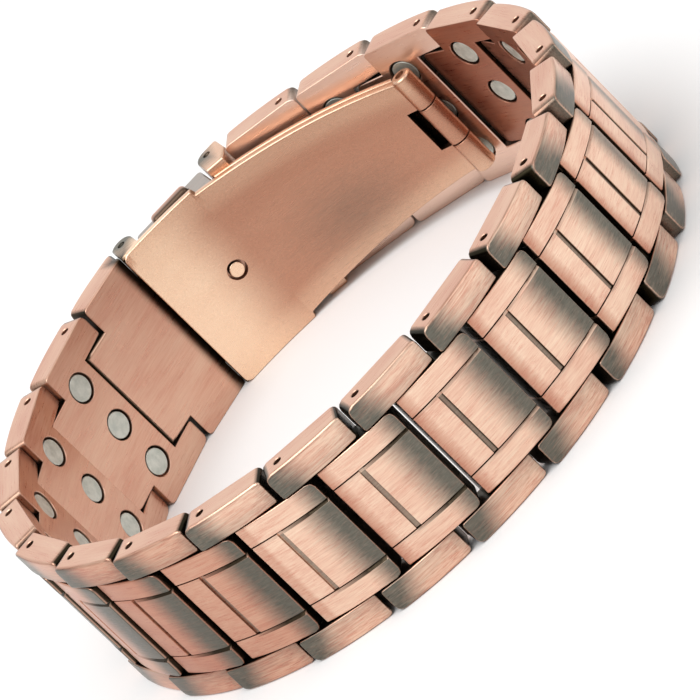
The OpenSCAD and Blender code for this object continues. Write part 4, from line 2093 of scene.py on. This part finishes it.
            section += [(half - d, top - drop - e) for d, e in levels]
            mirrored = [(-w, r) for w, r in reversed(section)]
            shares = (1 - k / self.face_rows for k in range(1, 2 * self.face_rows))
            columns = [(half - edge) * share for share in shares]
            section += [(w, top - drop) for w in columns] + mirrored
            section += [(-w, low + drop) for w in columns]
            middle = self.loop.plan.mid_z
            rings.append(draft.ring((x, -math.sqrt(r * r - x * x), middle + w) for w, r in section))
        for a, b in zip(rings, rings[1:]):
            draft.bridge(a, b)
        draft.cap(rings[0])
        draft.cap(rings[-1])
        return draft.part(name)

    def taper(self, x: float) -> float:
        """Gives half of the blades' tapering width at a place along the band."""
        share = (x - self.barrel[0]) / (self.step_x - self.barrel[0])
        return (self.tail_w + (self.neck_w - self.tail_w) * share) / 2

    def inner_half(self, x: float) -> float:
        """Gives half of the inner blade's width, with the step to its full width.

        Args:
            x: Place along the band.

        Returns:
            Half of the width.
        """
        full, reach = self.loop.plan.width / 2, self.step_l / 2
        rise = float(smooth(self.step_x - reach, self.step_x + reach, np.array(x)))
        return min(self.taper(x), full) * (1 - rise) + full * rise

    def knuckle(self, z0: float, z1: float, low: float, high: float) -> Part:
        """Makes one knuckle of the hinge barrel, with its lower and upper edges as given."""
        profile = disc_profile(self.barrel_d / 2, z0, z1, low, high)
        return Lathe(profile, self.barrel_sides).part("knuckle", self.barrel_seat)

    def hinge_bore(self) -> Part:
        """Makes the tool of the hinge pin's bore."""
        r, width = self.hinge_pin_d / 2 + self.loop.plan.pin_clear, self.loop.plan.width
        return bore("bore", r, -PAST, width + PAST, self.hinge_bore_sides, self.barrel_seat)

    def ears(
        self, x: float, back: float, front: float, foot_r: float, square_back: bool
    ) -> list[Part]:
        """Makes a pair of ears in the catch's frame.

        Args:
            x: Place of their pin along the band.
            back: How far they reach back.
            front: How far they reach on.
            foot_r: Radius of the blade face that they stand on.
            square_back: Whether they are square at the back.

        Returns:
            The two ears.
        """
        p, soft = self.loop.plan, self.ear_edge
        top = math.degrees(math.acos(min(front / p.ear_r, 1)))
        outline = [(x - back, self.blade_y(foot_r, x - back))]
        if square_back:
            outline += arc_points(x - back + soft, -p.ear_r + soft, soft, 180, 270, EDGE_FACETS)
        outline += arc_points(x, 0, p.ear_r, -90 if square_back else -180, -top, self.ear_facets)
        outline += [(x + front, self.blade_y(foot_r, x + front))]
        if square_back:
            last, edge = self.loop.link_seat(p.link_count), p.lug_end + p.ear_gap
            outline = clipped(outline, lambda a, b: last.local(*self.catch.placed(a, b))[0] - edge)
        r, seat = p.pin_d / 2 + p.pin_clear, Matrix.Translation((x, 0, 0))
        ears = []
        for z in (0, p.width - p.lug_w):
            ear = Plate(tuple(outline), z, z + p.lug_w, soft).part("ear")
            hole = bore("hole", r, z - PAST, z + p.lug_w + PAST, self.ear_hole_sides, seat)
            combine(ear, [hole], Cut.TAKE)
            ears.append(ear)
        return ears

    def to_blades(self, part: Part) -> Part:
        """Moves a part from the catch's frame to the blades' frame."""
        return moved(part, self.blades.matrix().inverted() @ self.catch.matrix())

    def wear_and_shade(self, points: np.ndarray, inner: bool) -> WearAndShade:
        """Gives a blade's shading: painted light at its wide end and along its edges, grey ears,
        and painted shade in the slot, the rivet's ring and the holes.

        Args:
            points: Points of the blades' frame.
            inner: Whether it is the inner blade.

        Returns:
            The shading at each point.
        """
        p = self.loop.plan
        x, y, z = points.T
        to_catch = np.array(self.catch.matrix().inverted() @ self.blades.matrix())
        cx, cy = (to_catch[:2, :2] @ np.stack((x, y))) + to_catch[:2, 3:4]
        off_mid, from_pin = np.abs(z - p.mid_z), np.hypot(cx - (p.ear_span if inner else 0.0), cy)
        ear = smooth(*self.ear_fade, from_pin) * smooth(*self.ear_foot, cy - p.ear_r)
        ear *= off_mid > p.mid_z - p.lug_w - SLACK
        # Painted shade in and under the slot, at the inner blade's wide end and in the rivet's
        # ring.
        margin = SLACK if inner else self.under_slot
        slot = (off_mid < self.room + margin) & (x < self.slot_end + margin) & (x > self.slot_start)
        if inner:
            walls = smooth(*self.wall_fade, np.hypot(x, y) - self.inner_low)
            end = smooth(*self.end_fade, self.blade_l / 2 - x) * (1 - ear)
            ring = np.hypot(cx - p.ear_span / 2, z - p.mid_z) < self.ring_r + SLACK
            painted_shade = walls * np.maximum.reduce((slot, end, self.ring_dark * ring))
        else:
            ear *= smooth(*self.ear_side, cx)
            painted_shade = slot.astype(float)
        # Painted shade in the ears' pin holes.
        hole = smooth(*self.hole_fade, from_pin - p.pin_d / 2)
        hole *= smooth(*self.hole_depth, np.minimum(z, p.width - z))
        # Painted highlight along the edges and painted light at the wide end; rosier elsewhere.
        from_edge = np.array([self.inner_half(a) for a in x]) - off_mid
        rose_and_shade = self.edge_highlight_rose + (1 - self.edge_highlight_rose) * smooth(*self.edge_fade, from_edge)
        along = (x - self.cloud_at[0]) / self.cloud_size[0]
        across = (z - self.cloud_at[1]) / self.cloud_size[1]
        return WearAndShade(
            patina_and_shade=np.maximum(ear, self.cloud_grey * np.exp(-(along**2) - across**2)),
            painted_shade=np.maximum(painted_shade, hole),
            rose_and_shade=rose_and_shade * smooth(*self.wide_end_light_fade, x),
            brush=self.blade_brush,
        )

    def dress_inner_blade(self, dresser: Dresser) -> None:
        """Builds and places the inner blade with its two knuckles and the left ears.

        Args:
            dresser: Puts the pieces on the loop.
        """
        p, (x, y), far = self.loop.plan, self.barrel, self.tool_reach
        half, soft, fine = self.barrel_l / 2, self.barrel_chamfer, self.knuckle_edge
        blade = self.sheet(
            "inner_blade_template", self.inner_low, self.inner_top, self.blade_l / 2,
            self.inner_half, self.blade_corner,
        )
        low, high = p.mid_z - self.room, p.mid_z + self.room
        slot = box_part("slot", (x - far, y - far, low), (self.slot_end, y + far, high))
        combine(blade, [slot], Cut.TAKE)
        knuckles = [
            self.knuckle(p.mid_z - half, low, soft, fine),
            self.knuckle(high, p.mid_z + half, fine, soft),
        ]
        middle = self.inner_top - self.inner_t / 2
        ears = self.ears(p.ear_span, p.ear_r, self.blade_over, middle, False)
        combine(blade, knuckles + [self.to_blades(ear) for ear in ears], Cut.ADD)
        ring = bore("rivet_hole", self.ring_r, 0, self.ring_depth, self.ring_sides, self.rivet_seat)
        combine(blade, [self.hinge_bore(), self.to_blades(ring)], Cut.TAKE)
        dresser.put(
            blade, self.blades.matrix(), "copper_inner_blade", Body.BAND, ["inner_blade"],
            self.finishes.blade, partial(self.wear_and_shade, inner=True),
        )
        dresser.discard(blade)

    def dress_outer_blade(self, dresser: Dresser) -> None:
        """Builds and places the outer blade with its middle knuckle and the right ears.

        Args:
            dresser: Puts the pieces on the loop.
        """
        p, (x, y) = self.loop.plan, self.barrel
        far, fine, clear = self.tool_reach, self.knuckle_edge, self.slot_start + self.catch_gap
        end = self.blades.local(*self.catch.placed(p.ear_r, self.blade_y(self.seam_r, p.ear_r)))[0]
        blade = self.sheet("outer_blade_template", self.outer_low, self.outer_top, end, self.taper)
        low, high = p.mid_z - self.knuckle_l / 2, p.mid_z + self.knuckle_l / 2
        rooms = [
            box_part("room", (x - far, y - far, z0), (clear, y + far, z1))
            for z0, z1 in ((-PAST, low), (high, p.width + PAST))
        ]
        combine(blade, rooms, Cut.TAKE)
        ears = self.ears(0, self.ear_back, p.ear_r, self.outer_low + self.outer_t / 2, True)
        knuckle = self.knuckle(low, high, fine, fine)
        combine(blade, [knuckle] + [self.to_blades(ear) for ear in ears], Cut.ADD)
        combine(blade, [self.hinge_bore()], Cut.TAKE)
        sides = [self.room + cut for cut in self.slot_cuts]
        cuts = [p.mid_z - side for side in sides[::-1]] + [p.mid_z + side for side in sides]
        slice_along(blade, 2, cuts)
        slice_along(blade, 0, [self.slot_end + cut for cut in self.slot_end_cuts])
        dresser.put(
            blade, self.blades.matrix(), "copper_outer_blade", Body.BAND, ["outer_blade"],
            self.finishes.blade, partial(self.wear_and_shade, inner=False),
        )
        dresser.discard(blade)

    def dress_pin_and_rivet(self, dresser: Dresser) -> None:
        """Builds and places the hinge pin and the catch's rivet.

        Args:
            dresser: Puts the pieces on the loop.
        """
        p, edge = self.loop.plan, self.hinge_pin_edge
        half = self.barrel_l / 2 - p.pin_sink
        profile = disc_profile(self.hinge_pin_d / 2, p.mid_z - half, p.mid_z + half, edge, edge)
        pin = Lathe(profile, self.hinge_pin_sides).part("hinge_pin_template", self.barrel_seat)
        dresser.put(
            pin, self.blades.matrix(), "steel_hinge_pin", Body.BAND, ["hinge_pin"],
            self.finishes.pin,
        )
        low, high = self.floor - self.rivet_in, self.floor + self.inner_t
        profile = disc_profile(self.rivet_d / 2, low, high, 0, self.rivet_edge)
        rivet = Lathe(profile, self.rivet_sides).part("rivet_template", self.rivet_seat)
        dresser.put(
            rivet, self.catch.matrix(), "copper_catch_rivet", Body.BAND, ["catch_rivet"],
            self.finishes.blade, self.rivet_shade,
        )
        dresser.discard(pin, rivet)

    def rivet_shade(self, points: np.ndarray) -> WearAndShade:
        """Gives the rivet's shading, painted shade on its side."""
        below = self.floor + self.inner_t - points[:, 1]
        return WearAndShade(painted_shade=self.ring_dark * (below > self.rivet_side))

    def button_outline(self, grow: float) -> tuple[Point2, ...]:
        """Lists the outline of a push button.

        Args:
            grow: How far it is grown by a gap.

        Returns:
            The outline's corners, in the catch's frame.
        """
        r, outline = self.button_corner, []
        for along, up, start in ((1, 1, 0), (-1, 1, 90), (-1, -1, 180), (1, -1, 270)):
            x = self.loop.plan.ear_span / 2 + along * (self.button_l / 2 - r)
            y = self.button_y + up * (self.button_h / 2 - r)
            outline += arc_points(x, y, r + grow, start, start + 90, self.button_facets)
        return tuple(outline)

    def dress_catch(self, dresser: Dresser) -> None:
        """Builds and places the catch block between the ears.

        Args:
            dresser: Puts the pieces on the loop.
        """
        p, soft = self.loop.plan, self.catch_corner
        rows, facets = self.catch_foot_rows, self.catch_corner_facets
        x0, x1 = p.ear_r + self.catch_gap, p.ear_span - p.ear_r - self.catch_gap
        outline = []
        for x, start in ((x0 + soft, 180), (x1 - soft, 270)):
            outline += arc_points(x, soft - self.catch_up, soft, start, start + 90, facets)
        feet = (x1 - (x1 - x0) * k / rows for k in range(rows + 1))
        outline += [(x, self.blade_y(self.inner_top + self.catch_seat, x)) for x in feet]
        low, high = self.catch_inset, p.width - self.catch_inset
        block = Plate(tuple(outline), low, high, self.catch_edge).part("catch_template")
        sweep, spare = math.hypot(p.tongue_tip, p.crown_y) + p.side_gap, 2 * p.side_gap
        tools = [
            bore(
                "sweep", sweep, p.block_z0 - spare, p.block_z1 + spare, self.sweep_sides,
                Matrix.Translation((x, 0, 0)),
            )
            for x in (0, p.ear_span)
        ]
        depth = self.catch_inset + self.button_in + self.button_travel + self.button_clear
        pocket = self.button_outline(self.button_clear)
        for z0, z1 in ((0, depth), (p.width - depth, p.width)):
            tools.append(Plate(pocket, z0, z1, self.pocket_edge).part("pocket"))
        combine(block, tools, Cut.TAKE)
        dresser.put(
            block, self.catch.matrix(), "grey_catch_block", Body.BAND, ["catch_block"],
            self.finishes.catch, self.catch_wear,
        )
        dresser.discard(block)

    def dress_buttons(self, dresser: Dresser) -> None:
        """Builds and places the two push buttons.

        Args:
            dresser: Puts the pieces on the loop.
        """
        width = self.loop.plan.width
        out, deep = self.catch_inset - self.button_out, self.catch_inset + self.button_in
        for side, body, z0, z1 in (
            ("top", Body.TOP_BUTTON, width - deep, width - out),
            ("bottom", Body.BOTTOM_BUTTON, out, deep),
        ):
            button = Plate(self.button_outline(0), z0, z1, self.button_edge).part("button_template")
            cuts = [self.button_y + self.button_h * cut for cut in self.button_cuts]
            slice_along(button, 1, cuts)
            dresser.put(
                button, self.catch.matrix(), f"copper_button_{side}", body, [f"button_{side}"],
                self.finishes.button, self.button_shading,
            )
            dresser.discard(button)

    def button_shading(self, points: np.ndarray) -> WearAndShade:
        """Gives a push button's shading, a painted dark reflection towards the blade."""
        dark = smooth(*self.button_fade, (points[:, 1] - self.button_y) / self.button_h)
        return WearAndShade(
            self.button_grey * dark, self.button_dark * dark, self.button_rose, self.button_brush
        )

    def catch_wear(self, points: np.ndarray) -> WearAndShade:
        """Gives the catch block's shading, grey on its sides and evenly rosy.

        Args:
            points: Points of the catch's frame.

        Returns:
            The shading at each point.
        """
        inside = np.minimum(points[:, 2], self.loop.plan.width - points[:, 2]) - self.catch_inset
        grey = self.catch_grey * smooth(*self.catch_fade, inside)
        return WearAndShade(patina_and_shade=grey, rose_and_shade=self.catch_rose, brush=self.catch_brush)

    def dress(self, dresser: Dresser) -> None:
        """Builds the whole clasp.

        Args:
            dresser: Puts the pieces on the loop.
        """
        self.dress_inner_blade(dresser)
        self.dress_outer_blade(dresser)
        self.dress_pin_and_rivet(dresser)
        self.dress_catch(dresser)
        self.dress_buttons(dresser)


# The studio


@dataclass(frozen=True)
class Camera:
    """The photograph's view: a long lens, high over the front rim and rolled to one side."""

    focal_pixels: float = 7170.5
    sensor: float = 36.0
    place: Point3 = (-34.47, -663.12, 288.23)
    right: Point3 = (0.685508, -0.313727, -0.657004)
    down: Point3 = (-0.72644, -0.234462, -0.645997)

    def build(self) -> None:
        """Makes the camera and makes it the scene's own."""
        data = bpy.data.cameras.new("photo_view")
        data.sensor_width = self.sensor
        data.lens = self.focal_pixels * self.sensor / PHOTO_PIXELS
        camera = bpy.data.objects.new("photo_view", data)
        right = Vector(self.right).normalized()
        up = -Vector(self.down).normalized()
        turn = Matrix((right, up, right.cross(up))).transposed().to_4x4()
        camera.matrix_world = Matrix.Translation(Vector(self.place) * MM) @ turn
        bpy.context.scene.collection.objects.link(camera)
        bpy.context.scene.camera = camera


@dataclass(frozen=True)
class SoftBox:
    """A large soft light that looks at the bracelet. Its sizes and places are in metres."""

    name: str
    place: Point3
    width: float
    height: float
    power: float
    aim: Point3 = (0.0, 0.0, 0.01)

    def build(self) -> None:
        """Makes the light, aimed at the middle of the bracelet."""
        data = bpy.data.lights.new(self.name, "AREA")
        data.shape = "RECTANGLE"
        data.size = self.width
        data.size_y = self.height
        data.energy = self.power
        light = bpy.data.objects.new(self.name, data)
        light.location = self.place
        aim = Vector(self.aim) - Vector(self.place)
        light.rotation_euler = aim.to_track_quat("-Z", "Y").to_euler()
        bpy.context.scene.collection.objects.link(light)


@dataclass(frozen=True)
class Studio:
    """A plain pale floor under soft light. The floor's size is in metres."""

    floor_size: float = 6.0
    floor_colour: Point3 = (0.86, 0.86, 0.86)
    floor_shade: float = 0.985
    floor_grain: float = 3.0
    floor_rough: float = 0.9
    floor_gloss: float = 0.1
    sky: Point3 = (1.0, 1.0, 1.0)
    sky_strength: float = 0.78
    lights: tuple[SoftBox, ...] = (
        SoftBox("key", (-0.35, -0.25, 1.0), 0.9, 0.9, 8.0),
        SoftBox("fill", (0.9, -0.5, 0.7), 0.8, 0.8, 2.0),
        SoftBox("back", (0.05, 0.95, 0.42), 1.5, 0.7, 1.2),
    )

    def build(self) -> None:
        """Makes the floor, the sky and the lights."""
        draft = Draft()
        half = self.floor_size / 2 / MM
        square = ((-half, -half, 0), (half, -half, 0), (half, half, 0), (-half, half, 0))
        draft.cap(draft.ring(square))
        floor = moved(draft.part("pale_floor"), Matrix.Scale(MM, 4))
        finish = Finish("pale_floor")
        cloud = finish.node("ShaderNodeTexNoise")
        cloud.inputs["Scale"].default_value = self.floor_grain
        tones = tuple(self.floor_shade * c for c in self.floor_colour), self.floor_colour
        colour = finish.ramp(cloud.outputs["Fac"], zip(NOISE_SPAN, tones))
        finish.link(colour, finish.shader.inputs["Base Color"])
        finish.shader.inputs["Roughness"].default_value = self.floor_rough
        finish.shader.inputs["Specular IOR Level"].default_value = self.floor_gloss
        floor.data.materials.append(finish.material)
        floor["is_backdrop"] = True
        world = bpy.data.worlds.new("soft_sky")
        world.use_nodes = True
        back = world.node_tree.nodes["Background"]
        back.inputs["Color"].default_value = (*self.sky, 1)
        back.inputs["Strength"].default_value = self.sky_strength
        bpy.context.scene.world = world
        bpy.context.scene.view_settings.view_transform = "Standard"
        for light in self.lights:
            light.build()


def corners(box: Sequence[Vector]) -> list[list[float]]:
    """Gives a box as plain lists of numbers."""
    return [[float(v) for v in corner] for corner in box]


def main() -> None:
    """Builds the classes in order and works out the sizes."""
    logging.basicConfig(level=logging.INFO, format="%(name)s: %(message)s")
    Camera().build()
    Studio().build()
    loop = Loop(BandPlan())
    finishes = Finishes()
    dresser = Dresser()
    links = Links(loop, finishes)
    assemblies = links, Magnets(links), Pins(loop, finishes), EndLink(links), Clasp(loop, finishes)
    for assembly in assemblies:
        assembly.dress(dresser)
        LOG.info("%s done", type(assembly).__name__)
    {"cad": corners(CAD_BOX), "visual": corners(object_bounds())}


if __name__ == "__main__":
    main()
